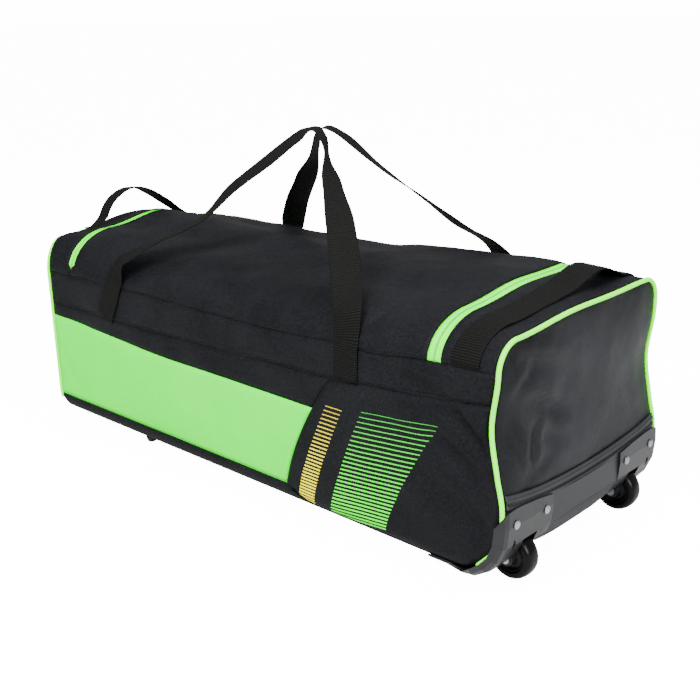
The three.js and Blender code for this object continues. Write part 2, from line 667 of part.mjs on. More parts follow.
// The housing's outer face in the bag's long section, inset by d. q: below 0 along the tongue,
// 0 to 1 round the corner, 1 to 2 up the end.
function housingProfile(q, d, top) {
  const along = wheelEndRound + kickStand + housingFit - d;
  const down = wheelEndRound + housingFit - d;
  const turn = mix(Math.PI / 12, Math.PI / 2, clamp(q, tongueStart, 1));
  const forward = Math.min(q - tongueStart, 0) * tongueReach;
  const x = halfLength - wheelEndRound + along * Math.sin(turn) ** (1 - housingFull) + forward;
  const middle = baseHeight + wheelEndRound;
  const bend = middle - down * Math.max(0, Math.cos(turn)) ** (1 - housingFull);
  return [x - Math.max(0, q - 1) * housingLean, q <= 1 ? bend : mix(middle, top, q - 1)];
}

function housingShell(side) {
  const face = housingSide - housingCorner;
  const steps = [
    ...[0, 0.35, 0.7, 0.86, 1].map((s) => ({ s, inset: 0, out: 0 })),
    ...range(3).slice(1).map((s) => ({
      s: 1,
      inset: housingCorner * (1 - Math.cos(s * Math.PI / 2)),
      out: housingCorner * Math.sin(s * Math.PI / 2),
    })),
    { s: 1, inset: housingLap, out: housingCorner },
  ];
  const pointAt = (u, q) => {
    const row = clamp(u, 0, steps.length - 1);
    const [low, high] = [steps[Math.floor(row)], steps[Math.ceil(row)]];
    const part = row - Math.floor(row);
    const s = mix(low.s, high.s, part);
    const lap = ease(clamp(0.15 + q * 3, 0, 1));
    const out = mix(low.out, high.out, part) * lap;
    const y = mix(housingInner, face, s) + out;
    const past = clamp(y - housingSide + housingShoulder, 0, housingShoulder);
    const drop = housingShoulder - Math.sqrt(housingShoulder ** 2 - past ** 2);
    const top = housingHeight + 2 * Math.sin(Math.PI * s) - 10 * (1 - s) - drop;
    const [x, z] = housingProfile(q, mix(low.inset, high.inset, part) * lap, top);
    const rolled = baseRoll + housingFit + seamGap;
    const beside = clamp(y - halfWidth + baseRoll, 0, rolled - 1);
    const curl = baseHeight + baseRoll - Math.sqrt(rolled ** 2 - beside ** 2);
    const curled = 1 - ease(clamp((q - tongueStart) * 3.4, 0, 1));
    return new THREE.Vector3(x, side * y, z + curled * Math.max(0, curl - z));
  };
  const qs = [tongueStart - 1, tongueStart, ...range(5, 0, 1), ...range(2, 1, 2).slice(1)];
  return sheet(pointAt, steps.map((_, i) => i), qs, housingWall, { flip: side < 0 });
}

// The block that the wheel's well is cut from: the housing's section behind its outer face.
function wellBlock(side) {
  const outline = new THREE.Shape();
  const back = wellBack - wellWall;
  const top = wellTop + wellWall;
  const edge = range(14)
    .map((q) => housingProfile(q, housingWall / 2, top))
    .filter(([x, z]) => x > back && z < top);
  outline.moveTo(back, edge[0][1]);
  edge.forEach(([x, z]) => outline.lineTo(x, z));
  outline.lineTo(edge[edge.length - 1][0], top);
  outline.lineTo(back, top);
  outline.closePath();
  const depth = 2 * (slotHalf + wellWall);
  const block = new THREE.ExtrudeGeometry(outline, { depth, bevelEnabled: false });
  block.rotateX(Math.PI / 2);
  return block.translate(0, side * wheelSide + depth / 2, 0);
}

function wheelHousing(side) {
  const y = side * wheelSide;
  const across = [y - slotHalf, y + slotHalf];
  const beyond = halfLength + 2 * housingRound;
  const slot = boxBetween([wellBack, across[0], -baseHeight], [beyond, across[1], wellTop]);
  const hole = rodAcross(axleRadius + axleFit, wheelPlace, wheelHeight, y - wheelWidth, y + wheelWidth, 16);
  const inner = [side * (housingInner - 30), side * (wheelSide - slotHalf - wellWall)].sort((a, b) => a - b);
  const underInner = boxBetween([0, inner[0], -baseHeight], [beyond, inner[1], lobeHeight]);
  const ears = rodAcross(axleRadius * 2.4, wheelPlace, wheelHeight,
    across[0] - wellWall, across[1] + wellWall, 14);
  const headRoom = rodAcross(axleHead + axleFit, wheelPlace, wheelHeight,
    y - axleHalf - axleFit, y + axleHalf + axleFit, 14);
  let solid = solidOf(housingShell(side)).subtract(solidOf(headRoom));
  solid = solid.add(solidOf(wellBlock(side))).add(solidOf(ears));
  solid = solid.subtract(solidOf(slot)).subtract(solidOf(hole)).subtract(solidOf(underInner));
  for (const place of rivetPlaces) {
    const shank = new THREE.CylinderGeometry(rivetShank + axleFit, rivetShank + axleFit, 4 * housingWall, 12);
    shank.rotateZ(Math.PI / 2).translate(housingFront, side * place.out, place.up);
    solid = solid.subtract(solidOf(shank));
  }
  for (const vent of vents) {
    const cut = new THREE.CylinderGeometry(vent.radius, vent.radius, 4 * housingWall, 8);
    cut.scale(1, 1, vent.stretch).rotateZ(Math.PI / 2).translate(housingFront, side * vent.out, vent.up);
    solid = solid.subtract(solidOf(cut));
  }
  return geometryOf(solid);
}
const housingFront = halfLength + kickStand + housingFit;
const lobeHeight = baseHeight + wheelEndRound / 2;
const rivetPlaces = [
  { name: 'inner', out: housingInner + 15, up: wellTop + 23 },
  { name: 'outer', out: housingSide - 26, up: wellTop + 27 },
];
const vents = [
  { out: housingSide - 26, up: wellTop, radius: 3, stretch: 2.4 },
  { out: housingSide - 20, up: wellTop - 11, radius: 2.2, stretch: 1 },
];

// What the housing's well would run into is cut out of the kick panel.
function kickPanelWheel() {
  let solid = solidOf(kickPanel(kicks.wheel, 6, 3));
  for (const side of [-1, 1]) {
    const room = axleHalf + seamGap;
    const y = side * wheelSide;
    const well = boxBetween([wellBack - wellWall - seamGap, y - room, -baseHeight],
      [halfLength + housingRound, y + room, wellTop + wellWall + seamGap]);
    solid = solid.subtract(solidOf(well));
  }
  return geometryOf(solid);
}
addPiece('kick_panel_wheel_end', kickPanelWheel(), 'kickRubber');
addPiece('kick_hem_wheel_end', kickHem(), 'blackCloth');
addPiece('kick_panel_pull_end', kickPanel(kicks.pull, 5, 2), 'kickRubber');

function rivet(side, place) {
  const dome = range(4).map((t) => new THREE.Vector2(rivetRadius * Math.cos(t * Math.PI / 2),
    seamGap + rivetHeight * 0.25 + rivetHeight * 0.75 * Math.sin(t * Math.PI / 2)));
  const shankEnd = -housingWall * 0.8;
  const profile = [new THREE.Vector2(0, shankEnd), new THREE.Vector2(rivetShank, shankEnd),
    new THREE.Vector2(rivetShank, seamGap), new THREE.Vector2(rivetRadius, seamGap), ...dome];
  profile[profile.length - 1].x = 0;
  const geometry = new THREE.LatheGeometry(profile, 12);
  geometry.rotateZ(-Math.PI / 2);
  const bendTop = baseHeight + wheelEndRound;
  const lean = housingLean * (place.up - bendTop) / (housingHeight - bendTop);
  return plainOf(geometry.translate(housingFront - Math.max(0, lean), side * place.out, place.up));
}

// A geometry with its shared points merged and nothing but their positions kept
function plainOf(geometry) {
  geometry.deleteAttribute('normal');
  geometry.deleteAttribute('uv');
  return mergeVertices(geometry, 1e-3);
}

// A ring turned about Y from half an outline: rows are radius and half width.
function turned(rows, segments) {
  const half = rows.map(([radius, out]) => new THREE.Vector2(radius, out));
  const back = rows.map(([radius, out]) => new THREE.Vector2(radius, -out)).reverse();
  const closed = [...half, ...back.filter((point) => point.y !== 0)];
  const low = closed.reverse();
  return new THREE.LatheGeometry([...low, low[0].clone()], segments);
}

function tyre() {
  const half = wheelWidth / 2;
  const rows = [
    [hubRadius + edgeGap, half * 0.86],
    [wheelRadius * 0.8, half],
    [wheelRadius * 0.92, half * 0.86],
    [wheelRadius * 0.98, half * 0.5],
    [wheelRadius, 0],
  ];
  return plainOf(turned(rows, 20));
}

function hub() {
  const half = wheelWidth / 2;
  const rim = hubRadius - edgeGap;
  const bore = axleRadius + axleFit;
  const rows = [[bore, half * 0.95], [bore * 1.9, half * 0.9], [rim * 0.85, half * 0.4],
    [rim, half * 0.8]];
  return plainOf(turned(rows, 14));
}

function axle() {
  const profile = [[0, -axleHalf], [axleHead, -axleHalf], [axleHead, -axleWall],
    [axleRadius, -axleWall], [axleRadius, axleWall], [axleHead, axleWall], [axleHead, axleHalf],
    [0, axleHalf]];
  return plainOf(new THREE.LatheGeometry(profile.map(([r, y]) => new THREE.Vector2(r, y)), 12));
}

// Webbing. A strap follows a path of its own middle line; where it is sewn down, the path is a
// point of the cloth moved out along the cloth's normal.
const strapStand = strapGap + webbingWall / 2;
const lengthwise = new THREE.Vector3(1, 0, 0);

function overSide(side, x, z) {
  const point = sidePoint(side, x, z);
  point.x = x;
  point.y += side * strapStand;
  return point;
}

// A strap's row on the top, given by its real place along the bag; it lies along the cloth.
function overTop(place, t, breadth, across = lengthwise) {
  let x = place;
  for (let i = 0; i < 4; i += 1) x += place - topPoint(x, t).x;
  const half = breadth / 2;
  const alongX = topPoint(x + half, t).sub(topPoint(x - half, t)).normalize();
  const alongT = topPoint(x, t + 1e-3).sub(topPoint(x, t - 1e-3)).normalize();
  const normal = alongX.cross(alongT).normalize();
  const level = across.clone().addScaledVector(normal, -across.dot(normal)).normalize();
  return { point: topPoint(x, t).addScaledVector(normal, strapStand), across: level, breadth };
}

// Free parts of the carry handles, from each sewn end to the grip. along, out and up are shares
// of half the length, half the width and handleHeight; breadth is a share of webbingWidth, and
// faceX, faceY and faceZ give the direction across the strap.
const handleTable = {
  nearLeft: [
    { along: -0.532, out: -0.975, up: 0.605, breadth: 1, faceX: 0.75, faceY: -0.6, faceZ: -0.2 },
    { along: -0.436, out: -0.76, up: 0.664, breadth: 1, faceX: 0.45, faceY: -0.88, faceZ: 0.14 },
    { along: -0.311, out: -0.56, up: 0.729, breadth: 0.95, faceX: 0.5, faceY: -0.86, faceZ: 0 },
    { along: -0.213, out: -0.42, up: 0.822, breadth: 0.9, faceX: 0.5, faceY: -0.86, faceZ: -0.1 },
    { along: -0.091, out: -0.255, up: 0.913, breadth: 0.8, faceX: 0.4, faceY: -0.9, faceZ: -0.15 },
    { along: -0.004, out: -0.14, up: 0.978, breadth: 0.7, faceX: 0.15, faceY: -0.96, faceZ: -0.2 },
    { along: 0.036, out: -0.086, up: 0.998, breadth: 0.6, faceX: 0, faceY: -0.96, faceZ: -0.2 },
  ],
  nearRight: [
    { along: 0.075, out: -0.1, up: 0.985, breadth: 0.55, faceX: 0.05, faceY: -0.95, faceZ: 0.2 },
    { along: 0.125, out: -0.17, up: 0.94, breadth: 0.5, faceX: 0.14, faceY: -0.69, faceZ: 0.73 },
    { along: 0.21, out: -0.34, up: 0.87, breadth: 0.75, faceX: -0.5, faceY: -0.85, faceZ: 0.3 },
    { along: 0.31, out: -0.53, up: 0.78, breadth: 0.95, faceX: -0.73, faceY: -0.69, faceZ: 0 },
    { along: 0.4, out: -0.73, up: 0.69, breadth: 1, faceX: -0.8, faceY: -0.6, faceZ: 0 },
    { along: 0.48, out: -0.935, up: 0.6, breadth: 1, faceX: -0.99, faceY: -0.1, faceZ: 0 },
  ],
  farLeft: [
    { along: -0.53, out: 1.03, up: 0.6, breadth: 1, faceX: 0.95, faceY: 0.3, faceZ: 0 },
    { along: -0.4, out: 0.79, up: 0.71, breadth: 0.95, faceX: 0.73, faceY: 0.69, faceZ: 0 },
    { along: -0.25, out: 0.54, up: 0.81, breadth: 0.85, faceX: 0.73, faceY: 0.69, faceZ: 0 },
    { along: -0.11, out: 0.3, up: 0.915, breadth: 0.5, faceX: 0.5, faceY: 0.85, faceZ: 0 },
    { along: -0.025, out: 0.13, up: 0.978, breadth: 0.45, faceX: 0.2, faceY: 0.97, faceZ: 0 },
    { along: 0.02, out: 0.1, up: 0.996, breadth: 0.5, faceX: 0, faceY: 0.97, faceZ: 0.1 },
  ],
  farRight: [
    { along: 0.078, out: 0.131, up: 0.978, breadth: 0.6, faceX: -0.1, faceY: 0.98, faceZ: -0.1 },
    { along: 0.173, out: 0.337, up: 0.881, breadth: 0.8, faceX: -0.5, faceY: 0.85, faceZ: -0.1 },
    { along: 0.271, out: 0.554, up: 0.794, breadth: 0.95, faceX: -0.85, faceY: 0.5, faceZ: 0 },
    { along: 0.362, out: 0.749, up: 0.713, breadth: 1, faceX: -0.95, faceY: 0.3, faceZ: 0 },
    { along: 0.43, out: 0.92, up: 0.66, breadth: 1, faceX: -0.97, faceY: 0.25, faceZ: 0 },
    { along: 0.47, out: 1.035, up: 0.6, breadth: 1, faceX: -1, faceY: 0.05, faceZ: 0 },
  ],
};

function freePart(table) {
  return table.map((row) => ({
    point: new THREE.Vector3(row.along * halfLength, row.out * halfWidth, row.up * handleHeight),
    across: new THREE.Vector3(row.faceX, row.faceY, row.faceZ),
    breadth: row.breadth * webbingWidth,
  }));
}

// Smooths the free part of a strap between its sewn ends.
function eased(rows, count) {
  const curve = new THREE.CatmullRomCurve3(rows.map((row) => row.point), false, 'centripetal');
  return range(count).map((t) => {
    const place = t * (rows.length - 1);
    const i = Math.min(rows.length - 2, Math.floor(place));
    const part = ease(place - i);
    return {
      point: curve.getPoint(t),
      across: rows[i].across.clone().lerp(rows[i + 1].across, part),
      breadth: mix(rows[i].breadth, rows[i + 1].breadth, part),
    };
  });
}

function strap(rows, wall = webbingWall) {
  const column = (name) => rows.map((row) => row[name]);
  return ribbon(column('point'), column('across'), column('breadth'), wall);
}

// The sewn end of a near handle leg: from the lower seam at low up to the lid at high. topPlaces are
// its rows on the lid, from where it rises free.
function sewnNear(low, high, turned, topPlaces) {
  const across = new THREE.Vector3(1, 0, turned).normalize();
  const bottom = lines.lower(low) + 2 * webbingWall;
  const seam = lines.upper(high, -1);
  const place = (z) => mix(low, high, clamp((z - bottom) / (seam - bottom), 0, 1.4));
  const side = [0, 0.33, 0.66, 0.95].map((v) => {
    const z = mix(bottom, seam, v);
    return { point: overSide(-1, place(z), z), across, breadth: webbingWidth };
  });
  const top = topPlaces.map((t) => overTop(place(topPoint(high, t).z), t, webbingWidth, across));
  return [...side, ...top];
}

function sewnFar(x) {
  return [0, 0.33, 0.66, 0.93].map((v) => ({
    point: overSide(1, x, mix(lines.lower(x) + 2 * webbingWall, farSeamHeight, v)),
    across: lengthwise,
    breadth: webbingWidth,
  }));
}

function carryHandle(left, table, gripTable, right) {
  const [a, b] = [freePart(table), freePart(gripTable)];
  const back = right.map((row) => ({ ...row, across: row.across.clone().negate() })).reverse();
  return strap([...left, ...eased([...a, ...b], 22), ...back]);
}
const leftFoot = handleLeft - webbingWidth * 1.25;
const rightFoot = handleRight - webbingWidth * 0.2;
addPiece('carry_handle_near', carryHandle(
  sewnNear(leftFoot, leftFoot + legLean, -0.5, [0.02, 0.05]),
  handleTable.nearLeft, handleTable.nearRight,
  sewnNear(rightFoot, rightFoot, 0, [0.03])), 'webbing');
addPiece('carry_handle_far', carryHandle(sewnFar(handleLeft), handleTable.farLeft,
  handleTable.farRight, sewnFar(handleRight - webbingWidth * 0.3)), 'webbing');

// The slack grab handle at the pull end. out and up are shares of halfWidth and grabPullHeight.
const grabPullTable = [
  { out: -0.49, up: 0.897 },
  { out: -0.434, up: 0.949 },
  { out: -0.337, up: 0.976 },
  { out: -0.183, up: 0.997 },
  { out: -0.046, up: 0.997 },
  { out: 0.103, up: 0.965 },
  { out: 0.274, up: 0.912 },
  { out: 0.38, up: 0.894 },
];
const grabPullRows = grabPullTable.map((row) => ({
  point: new THREE.Vector3(grabPullPlace, row.out * halfWidth, row.up * grabPullHeight),
  across: lengthwise,
  breadth: narrowWebbing,
}));
addPiece('grab_handle_pull_end', strap([
  ...[0.25, 0.3].map((t) => overTop(grabPullPlace, t, narrowWebbing)),
  ...eased(grabPullRows, 14),
  ...[0.74, 0.82].map((t) => overTop(grabPullPlace, t, narrowWebbing)),
]), 'webbing');

// The band across the wheel end's gusset. Between its two sewn parts it lies slack as a grab
// handle; rise is a share of grabWheelRise.
const grabWheelTable = [
  { t: 0.4, rise: 0 },
  { t: 0.44, rise: 0.2 },
  { t: 0.49, rise: 0.55 },
  { t: 0.56, rise: 0.8 },
  { t: 0.62, rise: 1 },
  { t: 0.68, rise: 0.9 },
  { t: 0.74, rise: 0.5 },
  { t: 0.79, rise: 0.3 },
  { t: 0.84, rise: 0 },
];

function bandAcross() {
  const wideRow = (t, rise) => {
    const row = overTop(bandPlace, t, webbingWidth);
    row.point.z += rise * grabWheelRise;
    return row;
  };
  const near = topRows.filter((t) => t > 0 && t < grabWheelTable[0].t).map((t) => wideRow(t, 0));
  const far = [0.86, 0.91, 0.95].map((t) => wideRow(t, 0));
  const slack = grabWheelTable.map((row) => wideRow(row.t, row.rise));
  return strap([wideRow(0.015, 0), ...near, ...slack, ...far, wideRow(0.985, 0)]);
}
addPiece('grab_handle_wheel_end', bandAcross(), 'webbing');

// The zip's slider with its pull tab, seated on the flat strip of the zip's far run.
function zipSlider() {
  const sliderPlace = zipWheelPlace - sliderInset;
  const [above, below] = [farZipRow + rowGap, 1 - rowGap].map((t) => topPoint(sliderPlace, t));
  const point = above.clone().lerp(below, 0.5);
  const down = below.clone().sub(above).normalize();
  const [half, narrow] = [sliderLength / 2, sliderLength / 4];
  const outline = new THREE.Shape();
  outline.moveTo(-half, -narrow);
  outline.lineTo(half * 0.5, -narrow);
  outline.lineTo(half, -narrow * 0.6);
  outline.lineTo(half, narrow * 0.6);
  outline.lineTo(half * 0.5, narrow);
  outline.lineTo(-half, narrow);
  outline.closePath();
  const body = new THREE.ExtrudeGeometry(outline, { depth: 2 * zipWall, bevelEnabled: false });
  const tab = boxBetween([-pullTabLength, -narrow * 0.7, 1.2 * zipWall],
    [-half * 0.5, narrow * 0.7, 1.9 * zipWall]);
  const solid = solidOf(body).add(solidOf(tab));
  const outward = new THREE.Vector3(0, -down.z, down.y);
  const frame = new THREE.Matrix4().makeBasis(lengthwise, outward.clone().cross(lengthwise), outward);
  frame.setPosition(point.addScaledVector(outward, sliderGap));
  return geometryOf(solid).applyMatrix4(frame);
}
addPiece('zip_slider', zipSlider(), 'steel');

for (const [name, side] of [['near', -1], ['far', 1]]) {
  const middle = [wheelPlace, side * wheelSide, wheelHeight];
  addPiece(`wheel_housing_${name}`, wheelHousing(side), 'moulded');
  for (const place of rivetPlaces) {
    addPiece(`rivet_${place.name}_${name}`, rivet(side, place), 'steel');
  }
  addPiece(`axle_${name}`, axle(), 'steel').position.set(...middle);
  addPiece(`tyre_${name}`, tyre(), 'tyre').position.set(...middle);
  addPiece(`hub_${name}`, hub(), 'hub').position.set(...middle);
  const foot = new THREE.CylinderGeometry(footRadius, footRadius * 0.75, baseHeight - seamGap, 14);
  foot.rotateX(Math.PI / 2);
  const height = (baseHeight - seamGap) / 2;
  const footPlace = [footPlaceShare * halfLength, side * footTrack / 2, height];
  addPiece(`foot_${name}`, plainOf(foot), 'moulded').position.set(...footPlace);
}

// The parts stand a little off the middle, so the whole group moves onto the origin.
const extent = new THREE.Box3().setFromObject(bag);
const middleOfBag = extent.getCenter(new THREE.Vector3());
for (const piece of bag.children) {
  piece.position.x -= middleOfBag.x;
  piece.position.y -= middleOfBag.y;
}

export default bag;
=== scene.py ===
import math

import bpy
import numpy as np
from mathutils import Matrix, Vector, noise


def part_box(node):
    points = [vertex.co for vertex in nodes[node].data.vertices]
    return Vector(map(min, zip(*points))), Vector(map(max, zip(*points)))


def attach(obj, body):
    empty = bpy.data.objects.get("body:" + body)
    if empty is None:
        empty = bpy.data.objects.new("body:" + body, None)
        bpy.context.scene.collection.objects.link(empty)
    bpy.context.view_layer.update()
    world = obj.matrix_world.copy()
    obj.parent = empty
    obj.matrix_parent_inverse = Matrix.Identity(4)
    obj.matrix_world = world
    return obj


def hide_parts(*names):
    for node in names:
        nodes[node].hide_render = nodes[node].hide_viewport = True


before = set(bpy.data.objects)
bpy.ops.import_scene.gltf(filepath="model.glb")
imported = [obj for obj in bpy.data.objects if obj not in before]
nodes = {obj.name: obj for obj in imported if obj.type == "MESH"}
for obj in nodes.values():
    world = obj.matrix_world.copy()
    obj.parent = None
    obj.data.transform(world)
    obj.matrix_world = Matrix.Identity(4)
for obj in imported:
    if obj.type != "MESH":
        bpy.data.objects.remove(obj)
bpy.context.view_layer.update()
scene = bpy.context.scene

# All sizes below are in millimetres, measured from the middle of the bag's body. The packed
# model's origin lies a little beside it, so everything moves by shift and becomes metres.
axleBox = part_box("axle_near")
axleMiddle = (axleBox[0] + axleBox[1]) / 2
wheelPlace = 441.0
wheelSide = 121.0
shift = np.array([axleMiddle.x * 1000 - wheelPlace, axleMiddle.y * 1000 + wheelSide, 0.0])


# Camera
def makeCamera():
    azimuth, elevation, roll = math.radians(43.5), math.radians(18), math.radians(-1.2)
    target = Vector((64.0, 0.0, 176.0))
    distance = 1542.0
    back = Vector((math.sin(azimuth) * math.cos(elevation),
                   -math.cos(azimuth) * math.cos(elevation), math.sin(elevation)))
    flat = Vector((math.cos(azimuth), math.sin(azimuth), 0))
    upright = back.cross(flat)
    right = flat * math.cos(roll) + upright * math.sin(roll)
    up = upright * math.cos(roll) - flat * math.sin(roll)
    data = bpy.data.cameras.new("camera")
    data.sensor_width = 36
    data.lens = 36 * 1055 / 700
    camera = bpy.data.objects.new("camera", data)
    scene.collection.objects.link(camera)
    place = (target + back * distance + Vector(shift)) / 1000
    turn = Matrix((right, up, back)).transposed().to_4x4()
    camera.matrix_world = Matrix.Translation(place) @ turn
    scene.camera = camera


makeCamera()
print("stage: frame and camera ready")

# The bag's form, the same as the CAD model's
halfLength, halfWidth = 450.0, 175.0
baseHeight, baseRoll = 8.0, 28.0
lidHeight, endHeight = 326.0, 306.0
upperSeamHeight, farSeamHeight, lowerSeamHeight = 258.0, 282.0, 206.0
limeTopHeight, baseBandHeight, printBaseHeight = 160.0, 38.0, 16.0
sideBulge, clothWall, seamGap = 5.0, 1.6, 0.4
# Cloth edges meet closer than in the solids, so that no light shows through the seams.
edgeGap = 0.03
zipWidth, zipWheelPlace, zipPullPlace, zipBow, zipFarBow = 22.0, 360.0, -384.0, 13.0, 14.0
curvedSeamPlace, curvedSeamSweep = 194.0, 94.0
wheelEndRound, pullEndRound, endBulge, pipingRadius = 80.0, 34.0, 5.0, 3.0
pipeRoom = pipingRadius + 2 * seamGap
clothEdge = pipingRadius * 0.9
kickHeightWheel, kickSag, kickHeightPull = 118.0, 17.0, 112.0
kickStand, kickStandPull, kickWall = 13.0, 7.0, 2.4
hemWidth, hemWall = 9.0, 1.6
webbingWidth, webbingWall, narrowWebbing, strapGap = 40.0, 2.0, 25.0, 1.0
handleLeft, handleRight, handleHeight = -241.0, 232.0, 494.0
bandPlace, grabPullPlace, grabPullHeight, grabWheelRise = 405.0, -421.0, 370.0, 17.0
housingInner, housingFull = 78.0, 0.13
nearArc, farArc, farZipRow = 0.28, 0.86, 0.95

formTable = {
    "along": [-1.0, -0.89, -0.7, -0.3, 0.08, 0.26, 0.45, 0.76, 0.89, 1.0],
    "crown": [0.996, 1.012, 1.014, 0.996, 0.98, 0.988, 0.992, 0.99, 0.98, 0.962],
    "shoulder": [1.0, 1.032, 1.036, 1.019, 1.003, 1.008, 1.01, 1.02, 1.018, 0.998],
    "farShoulder": [0.972, 0.998, 1.012, 1.006, 1.004, 1.036, 1.044, 1.046, 1.036, 1.03],
    "reach": [0.18, 0.46, 0.56, 0.6, 0.6, 0.59, 0.58, 0.52, 0.42, 0.19],
    "farReach": [0.17, 0.34, 0.4, 0.4, 0.38, 0.34, 0.3, 0.22, 0.2, 0.17],
}
seamTable = {
    "along": [-1.0, -0.6, -0.35, 0.0, 0.3, 0.47, 0.57, 0.78, 1.0],
    "upper": [0.972, 0.98, 0.982, 0.977, 0.986, 1.004, 0.994, 1.033, 1.047],
    "lower": [0.956, 0.966, 0.97, 0.995, 1.008, 1.018, 1.044, 1.073, 1.13],
    "lime": [1.106, 1.068, 1.04, 1.032, 1.022, 1.016, 1.02, 1.04, 1.06],
}


def mix(a, b, t):
    return a + (b - a) * t


def clamp(value, low, high):
    return np.minimum(high, np.maximum(low, value))


def ease(t):
    return t * t * (3 - 2 * t)


def read(table, column, at):
    keys, values = np.array(table["along"]), np.array(table[column])
    last = len(keys) - 1
    place = clamp(np.asarray(at, float), keys[0], keys[-1])
    a = np.clip(np.searchsorted(keys, place, side="right") - 1, 0, last - 1)
    b, before, after = a + 1, np.maximum(a - 1, 0), np.minimum(a + 2, last)
    span = keys[b] - keys[a]
    slopeA = (values[b] - values[before]) / (keys[b] - keys[before])
    slopeB = (values[after] - values[a]) / (keys[after] - keys[a])
    t = (place - keys[a]) / span
    return ((2 * t**3 - 3 * t**2 + 1) * values[a] + (t**3 - 2 * t**2 + t) * span * slopeA
            + (3 * t**2 - 2 * t**3) * values[b] + (t**3 - t**2) * span * slopeB)


def baseLine(x, side=-1):
    return mix(baseBandHeight, printBaseHeight,
               clamp((x - curvedSeamPlace) / (0.08 * halfLength), 0, 1))


def limeLine(x, side=-1):
    return limeTopHeight * read(seamTable, "lime", x / halfLength)


def lowerLine(x, side=-1):
    return lowerSeamHeight * read(seamTable, "lower", x / halfLength)


def upperLine(x, side):
    if side > 0:
        return farSeamHeight + 0 * x
    return upperSeamHeight * read(seamTable, "upper", x / halfLength)


def endReach(z, roundness, inset):
    drop = np.maximum(0, baseHeight + roundness - z)
    return halfLength - roundness + np.sqrt(np.maximum(0, (roundness - inset)**2 - drop * drop))


def placeOn(x, z):
    x, z = np.broadcast_arrays(np.asarray(x, float), np.asarray(z, float))
    rise = clamp((z - baseHeight) / (lowerLine(x) - baseHeight), 0, 1)
    end = np.where(x < curvedSeamPlace, -1, 1) * (halfLength - pipeRoom)
    sweep = curvedSeamSweep * clamp((x - end) / (curvedSeamPlace - end), 0, 1) * (1 - rise**1.53)
    roundness = np.where(x > 0, wheelEndRound, pullEndRound)
    start = halfLength - 2.5 * roundness
    edge = halfLength - pipeRoom
    out = np.abs(x)
    inner = endReach(z, roundness, pipeRoom)
    reach = np.where(out > start, mix(start, inner, (out - start) / (edge - start)), out)
    reach = np.where(out > edge, mix(inner, endReach(z, roundness, 0), (out - edge) / pipeRoom), reach)
    return np.sign(x) * reach - sweep


def halfWidthAt(z):
    drop = clamp((baseHeight + baseRoll - z) / baseRoll, 0, 1)
    return halfWidth - baseRoll * (1 - np.sqrt(1 - drop * drop))


# Low down, the housings hold the wheel end's corners out, and above them its cloth draws in.
leanTable = {"along": [0, 38, 62, 112, 150, 205, 262, 300], "out": [0, 1.5, 7.5, 9, 1, -8, -1, 0]}
leanStart, kickLimit = 300.0, 463.0


def settle(points, limit=None):
    x, y, z = points[..., 0], points[..., 1], points[..., 2]
    share = ease(clamp((x - leanStart) / (halfLength - leanStart), 0, 1))
    corner = 0.3 + 0.7 * (y / halfWidth)**2
    moved = x + read(leanTable, "out", z) * share * corner
    if limit:
        moved = np.minimum(moved, np.maximum(x, limit))
    return np.stack([moved, y, z], axis=-1)


# Soft dents: along, up, length, breadth, turn in degrees and depth, as in the CAD model, then
# finer creases of the same kind.
sideDents = [
    (0.9, 0.42, 0.34, 0.055, -62, 5), (0.97, 0.25, 0.2, 0.06, -40, 3),
    (0.8, 0.73, 0.22, 0.05, 14, 4), (-0.86, 0.55, 0.3, 0.12, 70, 3),
    (-0.3, 0.3, 0.5, 0.2, 4, -3),
]
lidDents = [
    (-0.42, 0.2, 0.3, 0.085, 28, 9), (-0.5, 0.1, 0.16, 0.05, 68, 6),
    (0.56, 0.14, 0.22, 0.05, 62, 4), (0.12, 0.5, 0.7, 0.2, 3, 3),
]
endDents = [
    (-0.55, 0.84, 0.16, 0.06, -12, 3), (-0.3, 0.66, 0.2, 0.05, 64, 3.5),
    (-0.5, 0.5, 0.14, 0.05, 40, 3), (0.35, 0.62, 0.26, 0.12, 80, -2),
]


def dentDepth(dents, across, acrossUnit, up, upUnit):
    total = 0
    for along, height, length, breadth, turn, depth in dents:
        angle = math.radians(turn)
        dx, dz = across - along * acrossUnit, up - height * upUnit
        a = (dx * math.cos(angle) + dz * math.sin(angle)) / (length * halfWidth)
        b = (dz * math.cos(angle) - dx * math.sin(angle)) / (breadth * 2 * halfWidth)
        total = total + depth * np.exp(-a * a - b * b)
    return total


def stack(x, y, z):
    return np.stack(np.broadcast_arrays(x, y, z), axis=-1).astype(float)


def sidePoint(side, x, z):
    place = placeOn(x, z)
    low, high = baseLine(x), upperLine(x, side)
    rise = clamp((z - low) / (high - low), 0, 1)
    atSeams = clamp(rise * (1 - rise) * 12, 0, 1)
    out = halfWidthAt(z) + sideBulge * np.sin(np.pi * rise) * (1 - (x / halfLength)**2)
    if side < 0:
        soft = atSeams * (1 - (x / halfLength)**8)
        out = out - dentDepth(sideDents, place, halfLength, z, lidHeight) * soft
    return stack(place, side * out, z)


